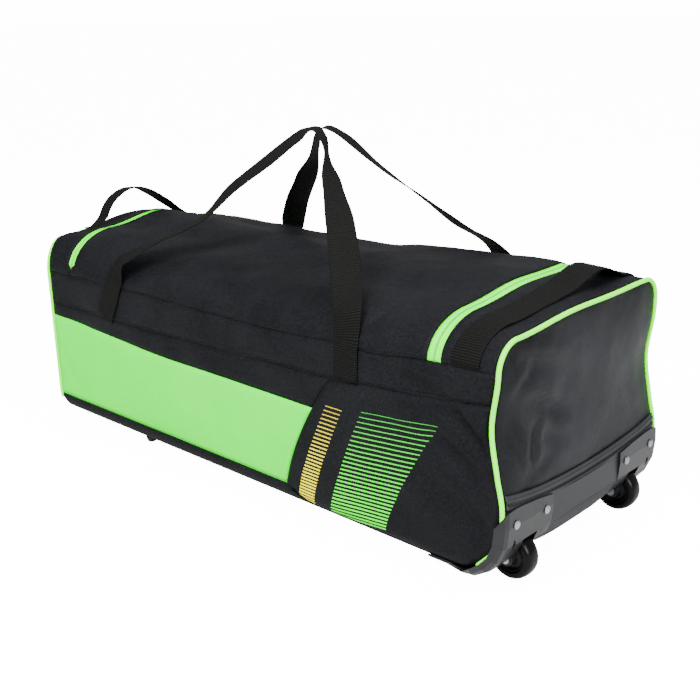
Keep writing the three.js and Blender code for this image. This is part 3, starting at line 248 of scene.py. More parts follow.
def topPoint(x, t):
    x, t = np.broadcast_arrays(np.asarray(x, float), np.asarray(t, float))
    along = x / halfLength
    reach, farReach = (halfWidth * read(formTable, name, along) for name in ("reach", "farReach"))
    shoulder, farShoulder = (endHeight * read(formTable, name, along)
                             for name in ("shoulder", "farShoulder"))
    crown = lidHeight * read(formTable, "crown", along)
    near, far = upperLine(x, -1), upperLine(x, 1)
    turnNear = t / nearArc * np.pi / 2
    turnFar = (1 - t) / (1 - farArc) * np.pi / 2
    s = (t - nearArc) / (farArc - nearArc)
    between = mix(shoulder, farShoulder, ease(s))
    y = mix(-halfWidth + reach, halfWidth - farReach, s)
    z = between + (crown - between) * (1 - np.cos(2 * np.pi * s)) / 2
    atNear, atFar = t < nearArc, t > farArc
    y = np.where(atNear, -halfWidth + reach * (1 - np.cos(turnNear)), y)
    z = np.where(atNear, near + (shoulder - near) * np.sin(turnNear), z)
    y = np.where(atFar, halfWidth - farReach * (1 - np.cos(turnFar)), y)
    z = np.where(atFar, far + (farShoulder - far) * np.sin(turnFar), z)
    bow = zipBow * ease(clamp(t / 0.35, 0, 1))
    bow = bow + zipFarBow * clamp(0.5 + along / 2, 0, 1) * ease(clamp(t * 1.6 - 0.6, 0, 1))
    edge = halfLength - pipeRoom
    nearEnd = np.where(x > zipWheelPlace, (edge - x) / (edge - zipWheelPlace),
                       (x + edge) / (zipPullPlace + edge))
    place = x - bow * clamp(nearEnd, 0, 1)
    soft = (1 - along**8) * clamp(t * (1 - t) * 14, 0, 1)
    z = z - dentDepth(lidDents, place, halfLength, t * lidHeight, lidHeight) * soft
    return stack(place, y, z)


def endOutline(end, k, inset=0.0):
    k = np.asarray(k, float)
    bottom = baseBandHeight * 0.8
    x = end * halfLength
    points = []
    for value in np.atleast_1d(k):
        sign = -1 if value < 1.5 else 1
        if value <= 1 or value >= 2:
            rise = value if value <= 1 else 3 - value
            point = sidePoint(sign, x, mix(bottom, upperLine(x, sign), rise))
            point[1] -= sign * inset
        else:
            point = topPoint(x, value - 1)
            turned = topPoint(x, value - 1 + 1e-3) - topPoint(x, value - 1 - 1e-3)
            turned /= np.linalg.norm(turned)
            point = point + np.array([0, turned[2], -turned[1]]) * inset
        points.append(point)
    return np.array(points)


def endFace(end, y, z):
    low = kickHeightWheel * 0.7
    rise = clamp((z - low) / (endHeight - low), 0, 1)
    shape = np.sin(np.pi * rise) * (1 - (y / halfWidth)**4)
    dent = dentDepth(endDents, y, halfWidth, z, endHeight) if end > 0 else 0
    return end * (halfLength + (endBulge - dent) * clamp(shape * 1.4, 0, 1))


# Helpers for meshes
def makeObject(name, points, faces, uvs=None, smooth=True):
    points = (np.asarray(points, float) + shift) / 1000
    mesh = bpy.data.meshes.new(name)
    mesh.from_pydata(points.tolist(), [], faces)
    mesh.validate()
    if uvs is not None:
        layer = mesh.uv_layers.new(name="sewn")
        loops = np.zeros(len(mesh.loops), int)
        mesh.loops.foreach_get("vertex_index", loops)
        layer.data.foreach_set("uv", np.asarray(uvs, float)[loops].ravel())
    for polygon in mesh.polygons:
        polygon.use_smooth = smooth
    piece = bpy.data.objects.new(name, mesh)
    scene.collection.objects.link(piece)
    return piece


def finishPiece(piece, material, body, slot, *replaced):
    piece.data.materials.clear()
    piece.data.materials.append(material)
    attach(piece, body)
    if replaced:
        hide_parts(*replaced)
    return piece


def normalsOf(grid, flip):
    du, dv = np.gradient(grid, axis=0), np.gradient(grid, axis=1)
    normal = np.cross(du, dv)
    normal /= np.linalg.norm(normal, axis=2, keepdims=True) + 1e-9
    return -normal if flip else normal


# A sheet with a thickness: outer face, inner face and a closed rim. The UV map holds real
# lengths in metres, measured along the sheet.
def sheetPiece(name, grid, wall, flip=False, keep=None, limit=None):
    grid = settle(grid, limit)
    nu, nv = grid.shape[:2]
    inner = grid - normalsOf(grid, flip) * wall
    points = np.concatenate([grid.reshape(-1, 3), inner.reshape(-1, 3)])
    stepU = np.linalg.norm(np.diff(grid, axis=0), axis=2).mean(axis=1)
    stepV = np.linalg.norm(np.diff(grid, axis=1), axis=2).mean(axis=0)
    u = np.concatenate([[0], np.cumsum(stepU)]) / 1000
    v = np.concatenate([[0], np.cumsum(stepV)]) / 1000
    flat = np.stack(np.meshgrid(u, v, indexing="ij"), axis=-1).reshape(-1, 2)
    kept = np.ones((nu - 1, nv - 1), bool) if keep is None else keep

    def isKept(i, j):
        return 0 <= i < nu - 1 and 0 <= j < nv - 1 and kept[i, j]

    back = nu * nv
    faces = []
    for i in range(nu - 1):
        for j in range(nv - 1):
            if not kept[i, j]:
                continue
            a, b, c, d = i * nv + j, (i + 1) * nv + j, (i + 1) * nv + j + 1, i * nv + j + 1
            cell = [(a, b, c, d), (d + back, c + back, b + back, a + back)]
            if not isKept(i, j - 1):
                cell.append((a, a + back, b + back, b))
            if not isKept(i + 1, j):
                cell.append((b, b + back, c + back, c))
            if not isKept(i, j + 1):
                cell.append((c, c + back, d + back, d))
            if not isKept(i - 1, j):
                cell.append((d, d + back, a + back, a))
            faces += [face[::-1] for face in cell] if flip else cell
    return makeObject(name, points, faces, np.concatenate([flat, flat]))


# Cloth turns in at a sewn edge: each named edge sinks by depth within reach of it.
def seamTurn(grid, flip, edges, depth=1.3, reach=7.0):
    normal = normalsOf(grid, flip)
    sink = np.zeros(grid.shape[:2])
    along = {
        "u0": lambda: np.linalg.norm(grid - grid[:1], axis=2),
        "u1": lambda: np.linalg.norm(grid - grid[-1:], axis=2),
        "v0": lambda: np.linalg.norm(grid - grid[:, :1], axis=2),
        "v1": lambda: np.linalg.norm(grid - grid[:, -1:], axis=2),
    }
    for edge in edges:
        sink = np.maximum(sink, clamp(1 - along[edge]() / reach, 0, 1)**2)
    return grid - normal * (sink * depth)[..., None]


# A crease is a valley with a soft lip on one side. Each row holds the place and height of its
# two ends, its depth and its width, in millimetres.
def creaseDepth(rows, across, up):
    total = 0
    for x0, z0, x1, z1, depth, width in rows:
        dx, dz = x1 - x0, z1 - z0
        length = math.hypot(dx, dz)
        s = ((across - x0) * dx + (up - z0) * dz) / length**2
        off = ((up - z0) * dx - (across - x0) * dz) / length
        fade = clamp(np.sin(np.pi * clamp(s, 0, 1)), 0, 1)
        bend = off / width
        total = total + depth * fade * (np.exp(-bend * bend) - 0.45 * np.exp(-(bend - 1.6)**2))
    return total


def ripple(grid, size, depth, seed):
    flat = grid.reshape(-1, 3)
    values = [noise.fractal(Vector((p[0] / size + seed, p[1] / size, p[2] / size)), 1.0, 2.0, 3)
              for p in flat]
    return np.array(values).reshape(grid.shape[:2]) * depth


def edgeFade(grid, reach=14.0):
    fade = np.ones(grid.shape[:2])
    for away in (grid - grid[:1], grid - grid[-1:], grid - grid[:, :1], grid - grid[:, -1:]):
        fade = fade * clamp(np.linalg.norm(away, axis=2) / reach, 0, 1)
    return ease(fade)


def crumple(grid, flip, size, depth, seed, creases=(), across=None, up=None):
    move = ripple(grid, size, depth, seed)
    if len(creases):
        move = move - creaseDepth(creases, across, up)
    return grid + normalsOf(grid, flip) * (move * edgeFade(grid))[..., None]


# Helpers for materials
def linear(code):
    values = [int(code[i:i + 2], 16) / 255 for i in (1, 3, 5)]
    return [v / 12.92 if v <= 0.04045 else ((v + 0.055) / 1.055)**2.4 for v in values] + [1.0]


# settings hold a node's own options and its constant inputs, values fill its inputs in order
# with numbers or links, and links name single inputs.
def add(tree, kind, settings=None, *values, **links):
    node = tree.nodes.new(kind)
    for name, value in (settings or {}).items():
        if hasattr(node, name) and name not in node.inputs:
            setattr(node, name, value)
        else:
            node.inputs[name].default_value = value
    for socket, value in zip(node.inputs, values):
        if isinstance(value, (int, float)):
            socket.default_value = value
        else:
            tree.links.new(value, socket)
    for name, source in links.items():
        tree.links.new(source, node.inputs[name])
    return node


def newMaterial(name, settings):
    material = bpy.data.materials.new(name)
    material.use_nodes = True
    tree = material.node_tree
    shader = tree.nodes["Principled BSDF"]
    for key, value in settings.items():
        shader.inputs[key].default_value = value
    return material, tree, shader


# Finishes a material: the tone runs from the dark to the light colour between low and high, and
# the height, where there is one, gives the relief.
def finishLook(tree, shader, tone, low, high, dark, light, height=None, strength=0.0, distance=0.0):
    ramp = add(tree, "ShaderNodeValToRGB", None, tone)
    for stop, place, code in zip(ramp.color_ramp.elements, (low, high), (dark, light)):
        stop.position = place
        stop.color = linear(code)
    tree.links.new(ramp.outputs[0], shader.inputs["Base Color"])
    if height:
        bump = add(tree, "ShaderNodeBump", {"Strength": strength, "Distance": distance}, Height=height)
        tree.links.new(bump.outputs[0], shader.inputs["Normal"])


# Bands across X or Y of a map in metres, pitch in millimetres
def bands(direction, pitch):
    return {"bands_direction": direction, "Scale": 314.16 / pitch}


# Plain weave of a coated polyester: two crossed sets of threads, drawn coarser than the real
# half millimetre so that they show. The grain breaks up the highlights, and the clouds give the
# cloth the uneven, slightly dusty black that a handled bag has.
def wovenCloth(name, dark, light, roughness, gloss=0.06, bump=0.4, mottle=0.36):
    material, tree, shader = newMaterial(name, {"Roughness": roughness, "Specular IOR Level": gloss})
    uv = add(tree, "ShaderNodeUVMap", {"uv_map": "sewn"}).outputs[0]
    warp = add(tree, "ShaderNodeTexWave", bands("X", 1.3), uv).outputs[1]
    weft = add(tree, "ShaderNodeTexWave", bands("Y", 1.3), uv).outputs[1]
    weave = add(tree, "ShaderNodeMath", {"operation": "MULTIPLY"}, warp, weft).outputs[0]
    place = add(tree, "ShaderNodeTexCoord").outputs["Object"]
    cloud = add(tree, "ShaderNodeTexNoise", {"Scale": 13.0, "Detail": 5.0, "Roughness": 0.6}, place)
    grain = add(tree, "ShaderNodeTexNoise", {"Scale": 380.0, "Detail": 2.0, "Roughness": 0.7}, place)
    both = add(tree, "ShaderNodeMix", {"Factor": mottle}, A=grain.outputs[0], B=cloud.outputs[0]).outputs[0]
    height = add(tree, "ShaderNodeMath", {"operation": "ADD"}, weave, grain.outputs[0]).outputs[0]
    finishLook(tree, shader, both, 0.36, 0.64, dark, light, height, bump, 0.0004)
    return material, tree, shader, both


blackCloth = wovenCloth("coated_polyester_black", "#050507", "#141518", 0.62)[0]
limeCloth = wovenCloth("coated_polyester_lime", "#0ee604", "#1af00e", 0.64, 0.02, 0.15)[0]
print("stage: cloth materials ready")


# The same cloth on the ends, rubbed smoother by handling, with painted shade: darker under the
# piping and beside the near seam, where the gloss drops too, which leaves a soft grey sheen in the middle.
def rubbedClothPaintedShade():
    material, tree, shader, tone = wovenCloth("coated_polyester_rubbed_painted_shade", "#09090b", "#17181b", 0.46, 0.12)
    place = add(tree, "ShaderNodeTexCoord").outputs["Object"]
    split = add(tree, "ShaderNodeSeparateXYZ", None, place)
    # Painted shade: the tone drops under the piping at the top and towards the near seam.
    over = add(tree, "ShaderNodeMapRange", {"interpolation_type": "SMOOTHSTEP"},
               split.outputs[2], 0.33, 0.24, -0.22, 0.0)
    beside = add(tree, "ShaderNodeMapRange", {"interpolation_type": "SMOOTHSTEP"},
                 split.outputs[1], -0.19, 0.0, -0.16, 0.06)
    paintedShade = add(tree, "ShaderNodeMath", {"operation": "ADD"}, over.outputs[0], beside.outputs[0]).outputs[0]
    total = add(tree, "ShaderNodeMath", {"operation": "ADD"}, paintedShade, tone).outputs[0]
    finishLook(tree, shader, total, 0.1, 0.75, "#020203", "#1b1c20")
    # The gloss follows the painted shade mask and is lower where the cloth is painted darker.
    sheen = add(tree, "ShaderNodeMapRange", {"interpolation_type": "SMOOTHSTEP"},
                paintedShade, -0.3, 0.06, 0.05, 0.13)
    tree.links.new(sheen.outputs[0], shader.inputs["Specular IOR Level"])
    return material


endCloth = rubbedClothPaintedShade()


# Stripes on the printed panel: two fields of short level lines, thin and dull at the top, thick,
# bright and nearly touching at the bottom. The fields' sizes are in millimetres.
printFields = [
    {"bottom": 22, "top": 174, "left": (128, 189), "right": (157, 217), "slope": 0.0,
     "pitch": (4.6, 6.6), "share": (0.58, 0.2), "tints": ("#fff200", "#b09a10")},
    {"bottom": 18, "top": 173, "left": (188, 249), "right": (284, 368), "slope": 0.095,
     "pitch": (4.9, 7.1), "share": (0.5, 0.17), "tints": ("#38ff04", "#2c9c30")},
]


def printedCloth():
    material, tree, shader, _ = wovenCloth("coated_polyester_printed", "#070709", "#131417", 0.6)
    place = add(tree, "ShaderNodeTexCoord").outputs["Object"]
    split = add(tree, "ShaderNodeSeparateXYZ", None, place)
    x = add(tree, "ShaderNodeMath", {"operation": "MULTIPLY_ADD"}, split.outputs[0], 1000, -float(shift[0]))
    z = add(tree, "ShaderNodeMath", {"operation": "MULTIPLY"}, split.outputs[2], 1000)
    base = shader.inputs["Base Color"].links[0].from_socket
    for field in printFields:
        tall = field["top"] - field["bottom"]
        lift = field["slope"] * field["left"][0] - field["bottom"]
        lean = add(tree, "ShaderNodeMath", {"operation": "MULTIPLY_ADD"},
                   x.outputs[0], -field["slope"], lift)
        up = add(tree, "ShaderNodeMath", {"operation": "ADD"}, z.outputs[0], lean.outputs[0])
        rise = add(tree, "ShaderNodeMath", {"operation": "DIVIDE"}, up.outputs[0], tall).outputs[0]
        bent = add(tree, "ShaderNodeMath", {"operation": "POWER", "use_clamp": True}, rise, 1.25).outputs[0]
        # Each edge's distance, positive inside the field
        edges = []
        for way, (low, high) in ((1, field["left"]), (-1, field["right"])):
            edge = add(tree, "ShaderNodeMath", {"operation": "MULTIPLY_ADD"}, bent, high - low, low)
            away = add(tree, "ShaderNodeMath", {"operation": "SUBTRACT"}, x.outputs[0], edge.outputs[0])
            inward = add(tree, "ShaderNodeMath", {"operation": "MULTIPLY"}, away.outputs[0], way)
            edges.append(inward.outputs[0])
        across = add(tree, "ShaderNodeMath", {"operation": "MINIMUM"}, *edges).outputs[0]
        below = add(tree, "ShaderNodeMath", {"operation": "SUBTRACT"}, 1.0, rise).outputs[0]
        upright = add(tree, "ShaderNodeMath", {"operation": "MINIMUM"}, rise, below).outputs[0]
        inner = add(tree, "ShaderNodeMath", {"operation": "MINIMUM"}, across, upright).outputs[0]
        inside = add(tree, "ShaderNodeMath", {"operation": "GREATER_THAN"}, inner, 0.0).outputs[0]
        # The pitch grows evenly with the height, so the rows follow a logarithm
        low, high = field["pitch"]
        grown = add(tree, "ShaderNodeMath", {"operation": "MULTIPLY_ADD"}, rise, (high - low) / low, 1.0)
        row = add(tree, "ShaderNodeMath", {"operation": "LOGARITHM"}, grown.outputs[0], math.e).outputs[0]
        count = add(tree, "ShaderNodeMath", {"operation": "MULTIPLY"}, row, tall / (high - low)).outputs[0]
        part = add(tree, "ShaderNodeMath", {"operation": "FRACT"}, count).outputs[0]
        low, high = field["share"]
        share = add(tree, "ShaderNodeMath", {"operation": "MULTIPLY_ADD"}, rise, high - low, low).outputs[0]
        line = add(tree, "ShaderNodeMath", {"operation": "LESS_THAN"}, part, share).outputs[0]
        mask = add(tree, "ShaderNodeMath", {"operation": "MULTIPLY"}, inside, line).outputs[0]
        tint = add(tree, "ShaderNodeValToRGB", None, rise)
        for stop, code in zip(tint.color_ramp.elements, field["tints"]):
            stop.color = linear(code)
        base = add(tree, "ShaderNodeMixRGB", None, mask, base, tint.outputs[0]).outputs[0]
    tree.links.new(base, shader.inputs["Base Color"])
    return material


printedPanel = printedCloth()


# Ribbed polypropylene webbing: ribs straight across the strap, with painted light on their tops and
# painted shade between, mixed with a fine fuzz, which give the straps their brownish, rope-like black.
def webbing(name, dark, light):
    material, tree, shader = newMaterial(name, {"Roughness": 0.72, "Specular IOR Level": 0.05})
    uv = add(tree, "ShaderNodeUVMap", {"uv_map": "sewn"}).outputs[0]
    ribs = add(tree, "ShaderNodeTexWave", bands("X", 3.2), uv).outputs[1]
    place = add(tree, "ShaderNodeTexCoord").outputs["Object"]
    fuzz = add(tree, "ShaderNodeTexNoise", {"Scale": 600.0, "Detail": 3.0}, place).outputs[0]
    # The rib wave paints light on the ribs' tops and shade between them.
    tone = add(tree, "ShaderNodeMix", {"Factor": 0.5}, A=ribs, B=fuzz).outputs[0]
    finishLook(tree, shader, tone, 0.25, 0.72, dark, light, ribs, 0.7, 0.0007)
    return material


strapWebbing = webbing("polypropylene_webbing", "#040404", "#111110")


# Woven zip tape and satin piping: fine slanting threads with small shifts of tone, which keep the
# bright green from going flat.
def trimCloth(name, dark, light, roughness, gloss, threads):
    material, tree, shader = newMaterial(name, {"Roughness": roughness, "Specular IOR Level": gloss})
    uv = add(tree, "ShaderNodeUVMap", {"uv_map": "sewn"}).outputs[0]
    twill = add(tree, "ShaderNodeTexWave", bands("DIAGONAL", threads), uv).outputs[1]
    place = add(tree, "ShaderNodeTexCoord").outputs["Object"]
    cloud = add(tree, "ShaderNodeTexNoise", {"Scale": 60.0, "Detail": 3.0}, place).outputs[0]
    tone = add(tree, "ShaderNodeMix", {"Factor": 0.8}, A=twill, B=cloud).outputs[0]
    finishLook(tree, shader, tone, 0.3, 0.7, dark, light, twill, 0.25, 0.0003)
    return material


pipingSatin = trimCloth("satin_piping_lime", "#5cff00", "#7cff00", 0.34, 0.18, 1.6)
zipTape = trimCloth("zip_tape_lime", "#34f800", "#50ff00", 0.65, 0.02, 1.2)


# Moulded and rolled surfaces: a fine grain for the relief and slow clouds for the tone, which
# keep large smooth faces from looking like plain grey.
def mouldedPlastic(name, dark, light, roughness, gloss, grain, bump, metal=0.0):
    material, tree, shader = newMaterial(name, {
        "Roughness": roughness, "Specular IOR Level": gloss, "Metallic": metal})
    place = add(tree, "ShaderNodeTexCoord").outputs["Object"]
    fine = add(tree, "ShaderNodeTexNoise", {"Scale": 1000.0 / grain, "Detail": 2.0}, place).outputs[0]
    cloud = add(tree, "ShaderNodeTexNoise", {"Scale": 22.0, "Detail": 3.0}, place).outputs[0]
    finishLook(tree, shader, cloud, 0.35, 0.7, dark, light, fine, bump, 0.0002)
    return material


# Rolled rubber sheet: painted shade darkens the grooves, and the ribs' tops stay a satin grey. The mesh
# holds each point's depth in its groove attribute, from 0 on a rib to 1 in a groove.
def ribbedRubber(groove, top):
    material, tree, shader = newMaterial("ribbed_rubber_sheet", {
        "Roughness": 0.46, "Specular IOR Level": 0.24})
    deep = add(tree, "ShaderNodeAttribute", {"attribute_name": "groove"}).outputs["Fac"]
    height = add(tree, "ShaderNodeMath", {"operation": "SUBTRACT"}, 1.0, deep).outputs[0]
    finishLook(tree, shader, height, 0.1, 0.8, groove, top)
    return material


housingPlastic = mouldedPlastic("abs_moulded_satin", "#0a0b0d", "#111316", 0.38, 0.3, 0.8, 0.3)
# The kick sheet's dark groove colour is painted shade.
kickRubber = ribbedRubber("#060708", "#16181b")
hemBinding = mouldedPlastic("bound_edge_tape", "#15171a", "#1e2023", 0.5, 0.2, 0.9, 0.5)
tyreUrethane = mouldedPlastic("polyurethane_cast_gloss", "#020203", "#050506", 0.3, 0.1, 1.5, 0.03)
hubNylon = mouldedPlastic("nylon_moulded_hub", "#060607", "#0c0d0e", 0.45, 0.2, 0.8, 0.15)
nickel = mouldedPlastic("nickel_plated_steel", "#8a8d91", "#a8abb0", 0.3, 0.5, 0.5, 0.05, 1.0)
zipNylon = mouldedPlastic("nylon_zip_teeth", "#18b008", "#22c010", 0.4, 0.2, 0.6, 0.1)
threadBlack = mouldedPlastic("polyester_thread", "#0c0d0f", "#17181b", 0.6, 0.1, 0.4, 0.2)
print("stage: materials ready")


# The sides
def spaced(low, high, step):
    return np.linspace(low, high, max(2, int(round(abs(high - low) / step)) + 1))


nearCreases = [
    (366, 234, 456, 160, 11.0, 11), (436, 230, 448, 172, -7.0, 8), (290, 246, 400, 212, 7.0, 13),
    (346, 186, 448, 126, 7.5, 12), (330, 132, 442, 66, 5.5, 14), (408, 116, 440, 36, 5.0, 9),
    (250, 192, 330, 168, 1.4, 10), (300, 60, 380, 100, 1.6, 12), (330, 252, 300, 216, 2.0, 12),
    (-430, 120, -400, 60, 1.4, 10), (-60, 70, 40, 60, 1.0, 12), (-330, 186, -230, 176, 1.4, 10),
    (20, 190, 120, 178, 1.2, 10), (-120, 228, -20, 216, 1.2, 9),
]


def sidePanel(name, side, low, high, xLow, xHigh, gapLow, gapHigh, creases, material, node, slot):
    xs = spaced(xLow + gapLow, xHigh - gapHigh, 7.0)
    rows = spaced(0, 1, 7.0 / float(np.mean(high(xs, side) - low(xs, side))))
    x, v = np.meshgrid(xs, rows, indexing="ij")
    z = mix(low(x, side) + edgeGap, high(x, side) - edgeGap, v)
    grid = sidePoint(side, x, z)
    flip = side > 0
    grid = crumple(grid, flip, 85, 1.6, side * 3.1, creases, grid[..., 0], grid[..., 2])
    grid = seamTurn(grid, flip, ("v0", "v1", "u0", "u1"))
    piece = sheetPiece(name, grid, clothWall, flip)
    return finishPiece(piece, material, "bag", slot, node)


ends = (-halfLength, halfLength)
sidePanel("lime_cloth", -1, baseLine, limeLine, ends[0], curvedSeamPlace, clothEdge, edgeGap,
          nearCreases, limeCloth, "side_panel_lime", "lime_cloth")
sidePanel("near_cloth", -1, limeLine, lowerLine, ends[0], curvedSeamPlace, clothEdge, edgeGap,
          nearCreases, blackCloth, "side_panel_near", "black_cloth")
sidePanel("printed_cloth", -1, baseLine, lowerLine, curvedSeamPlace, ends[1], edgeGap, clothEdge,
          nearCreases, printedPanel, "side_panel_print", "black_cloth")
sidePanel("near_band_cloth", -1, lowerLine, upperLine, ends[0], ends[1], clothEdge, clothEdge,
          nearCreases, blackCloth, "side_band_near", "black_cloth")
farCreases = [(300, 60, 380, 140, 1.6, 10), (-350, 180, -250, 120, 1.4, 12), (0, 60, 120, 90, 1, 12)]
sidePanel("far_cloth", 1, baseLine, lowerLine, ends[0], ends[1], clothEdge, clothEdge,
          farCreases, blackCloth, "side_panel_far", "black_cloth")
sidePanel("far_band_cloth", 1, lowerLine, upperLine, ends[0], ends[1], clothEdge, clothEdge,
          farCreases, blackCloth, "side_band_far", "black_cloth")


def basePanel():
    xs = spaced(ends[0] + clothEdge, ends[1] - clothEdge, 9.0)
    ss = np.concatenate([-np.linspace(1, 0.55, 10), np.linspace(-0.4, 0.4, 5), np.linspace(0.55, 1, 10)])
    x, s = np.meshgrid(xs, ss, indexing="ij")
    away = np.abs(s)
    turn = clamp((away - 0.55) / 0.35, 0, 1) * np.pi / 2
    top = baseLine(x) - edgeGap
    rollTop = np.minimum(baseHeight + baseRoll, top - edgeGap)
    rolled = baseHeight + (rollTop - baseHeight) * (1 - np.cos(turn))
    z = np.where(away > 0.9, mix(rollTop, top, (away - 0.9) / 0.1), rolled)
    out = np.where(away <= 0.55, (halfWidth - baseRoll) * away / 0.55, halfWidthAt(z))
    grid = stack(placeOn(x, z), np.sign(s) * out, z)
    piece = sheetPiece("base_cloth", seamTurn(grid, True, ("v0", "v1")), clothWall, True)
    return finishPiece(piece, blackCloth, "bag", "black_cloth", "base_panel")


basePanel()
print("stage: sides and base ready")

# The top: lid, gussets and zip
pullZipOuter, pullZipInner = zipPullPlace - zipWidth / 2, zipPullPlace + zipWidth / 2
wheelZipInner, wheelZipOuter = zipWheelPlace - zipWidth / 2, zipWheelPlace + zipWidth / 2
pullLap, wheelLap, tapeDepth = 2.2, 0.4, 2.0
rowGap = edgeGap / (2 * halfWidth + 2 * (lidHeight - upperSeamHeight))
lidCreases = [
    (-250, 30, -130, 66, 3.4, 9), (-215, 20, -196, 62, 2.6, 7), (240, 26, 262, 74, 2.4, 7),
    (-330, 60, -260, 40, 1.8, 9), (120, 40, 60, 90, 1.6, 12), (-60, 50, 20, 80, 1.5, 12),
    (300, 90, 340, 50, 1.6, 8), (-40, 120, 120, 130, 1.4, 14), (-300, 130, -180, 118, 1.4, 14),
]


# The two edges beside the pull end's zip meet over its lowest stretch.
zipEnd, zipMeet = 0.045, zipWidth / 2 - pullLap - 0.6


def topPanel(name, xLow, xHigh, gapLow, gapHigh, lastRow, node, edges):
    xs = spaced(xLow + gapLow, xHigh - gapHigh, 6.0)
    ts = spaced(rowGap, lastRow - rowGap, 0.0125)
    x, t = np.meshgrid(xs, ts, indexing="ij")
    for edge, way in ((pullZipInner - pullLap, -1), (pullZipOuter + pullLap, 1)):
        near = clamp(1 - way * (edge - x) / 24, 0, 1) * (way * (edge - x) > -0.01)
        x = x + way * zipMeet * near * clamp((zipEnd - t) / 0.01, 0, 1)
    grid = topPoint(x, t)
    grid = crumple(grid, False, 90, 2.2, 7.7, lidCreases, grid[..., 0], t * lidHeight)
    grid = seamTurn(grid, False, edges)
    return finishPiece(sheetPiece(name, grid, clothWall), blackCloth, "bag", "black_cloth", node)


# The cloth's edges lap over the zip's tape, further at the narrow pull end.
topPanel("lid_cloth", pullZipInner, wheelZipInner, -pullLap, -wheelLap, farZipRow, "lid", ("v0", "v1"))
topPanel("wheel_gusset_cloth", wheelZipOuter, ends[1], -wheelLap, clothEdge, 1, "gusset_wheel_end",
         ("v0", "v1", "u1"))
topPanel("pull_gusset_cloth", ends[0], pullZipOuter, clothEdge, -pullLap, 1, "gusset_pull_end",
         ("v0", "v1", "u0"))


def zipSheet():
    xs = np.concatenate([spaced(pullZipOuter + edgeGap, pullZipInner - edgeGap, 4),
                         spaced(pullZipInner + 6, wheelZipInner - 6, 8),
                         spaced(wheelZipInner + edgeGap, wheelZipOuter - edgeGap, 4)])
    ts = np.concatenate([spaced(rowGap, farZipRow - 0.02, 0.015),
                         spaced(farZipRow + rowGap, 1 - rowGap, 0.01)])
    x, t = np.meshgrid(xs, ts, indexing="ij")
    grid = topPoint(x, t)
    keep = np.ones((len(xs) - 1, len(ts) - 1), bool)
    middleX = (xs[:-1] + xs[1:]) / 2
    middleT = (ts[:-1] + ts[1:]) / 2
    between = (middleX > pullZipInner - 1) & (middleX < wheelZipInner + 1)
    keep &= ~(between[:, None] & (middleT < farZipRow)[None, :])
    grid = grid - normalsOf(grid, False) * tapeDepth
    piece = sheetPiece("zip_tape", grid, 1.2, keep=keep)
    return finishPiece(piece, zipTape, "bag", "lime_trim", "zip")


zipSheet()


def resample(points, step):
    lengths = np.concatenate([[0], np.cumsum(np.linalg.norm(np.diff(points, axis=0), axis=1))])
    count = max(2, int(round(lengths[-1] / step)) + 1)
    at = np.linspace(0, lengths[-1], count)
    return np.stack([np.interp(at, lengths, points[:, i]) for i in range(3)], axis=1)


print("stage: top ready")


# Straps, piping and cords
def tube(name, path, across, wide, thick, corners, power=1.0):
    # An oval or flat section with round edges swept along the path
    count = len(path)
    along = np.gradient(path, axis=0)
    along /= np.linalg.norm(along, axis=1, keepdims=True)
    side = across - (across * along).sum(axis=1, keepdims=True) * along
    side /= np.linalg.norm(side, axis=1, keepdims=True)
    face = np.cross(along, side)
    turns = np.arange(corners) / corners * 2 * np.pi
    c = np.sign(np.cos(turns)) * np.abs(np.cos(turns))**power
    s = np.sign(np.sin(turns)) * np.abs(np.sin(turns))**power
    wide, thick = np.broadcast_to(wide, count), np.broadcast_to(thick, count)
    rings = (path[:, None] + side[:, None] * (c[None, :] * wide[:, None] / 2)[..., None]
             + face[:, None] * (s[None, :] * thick[:, None] / 2)[..., None])
    lengths = np.concatenate([[0], np.cumsum(np.linalg.norm(np.diff(path, axis=0), axis=1))]) / 1000
    uvs = np.stack(np.broadcast_arrays(lengths[:, None], c[None, :] * wide[:, None] / 2000), axis=-1)
    faces = []
    for i in range(count - 1):
        for j in range(corners):
            k = (j + 1) % corners
            faces.append((i * corners + j, i * corners + k, (i + 1) * corners + k, (i + 1) * corners + j))
    faces.append(tuple(range(corners))[::-1])
    faces.append(tuple((count - 1) * corners + j for j in range(corners)))
    return makeObject(name, rings.reshape(-1, 3), faces, uvs.reshape(-1, 2))


def piping(name, end, node):
    ks = np.concatenate([spaced(0, 1, 0.025), spaced(1, 2, 0.012)[1:], spaced(2, 3, 0.025)[1:]])
    hidden = pipingRadius * (1.5 if end < 0 else 0.4)
    outline = [endOutline(end, k, mix(pipingRadius * 0.4, hidden, clamp((k - 1) * 5, 0, 1)))[0] for k in ks]
    path = settle(resample(np.array(outline), 4.0))
    across = np.tile([1.0, 0, 0], (len(path), 1))
    piece = tube(name, path, across, 2 * pipingRadius, 2 * pipingRadius, 14)
    return finishPiece(piece, pipingSatin, "bag", "lime_trim", node)


piping("wheel_end_piping", 1, "piping_wheel_end")
piping("pull_end_piping", -1, "piping_pull_end")

strapStand = strapGap + webbingWall / 2
lengthwise = np.array([1.0, 0, 0])


def overSide(side, x, z):
    point = sidePoint(side, x, z)
    return np.array([x, point[1] + side * strapStand, z])


def overTop(place, t, breadth, across=lengthwise):
    x = place
    for _ in range(4):
        x += place - topPoint(x, t)[0]
    alongX = topPoint(x + breadth / 2, t) - topPoint(x - breadth / 2, t)
    alongT = topPoint(x, t + 1e-3) - topPoint(x, t - 1e-3)
    normal = np.cross(alongX, alongT)
    normal /= np.linalg.norm(normal)
    level = across - across @ normal * normal
    return topPoint(x, t) + normal * strapStand, level / np.linalg.norm(level), breadth


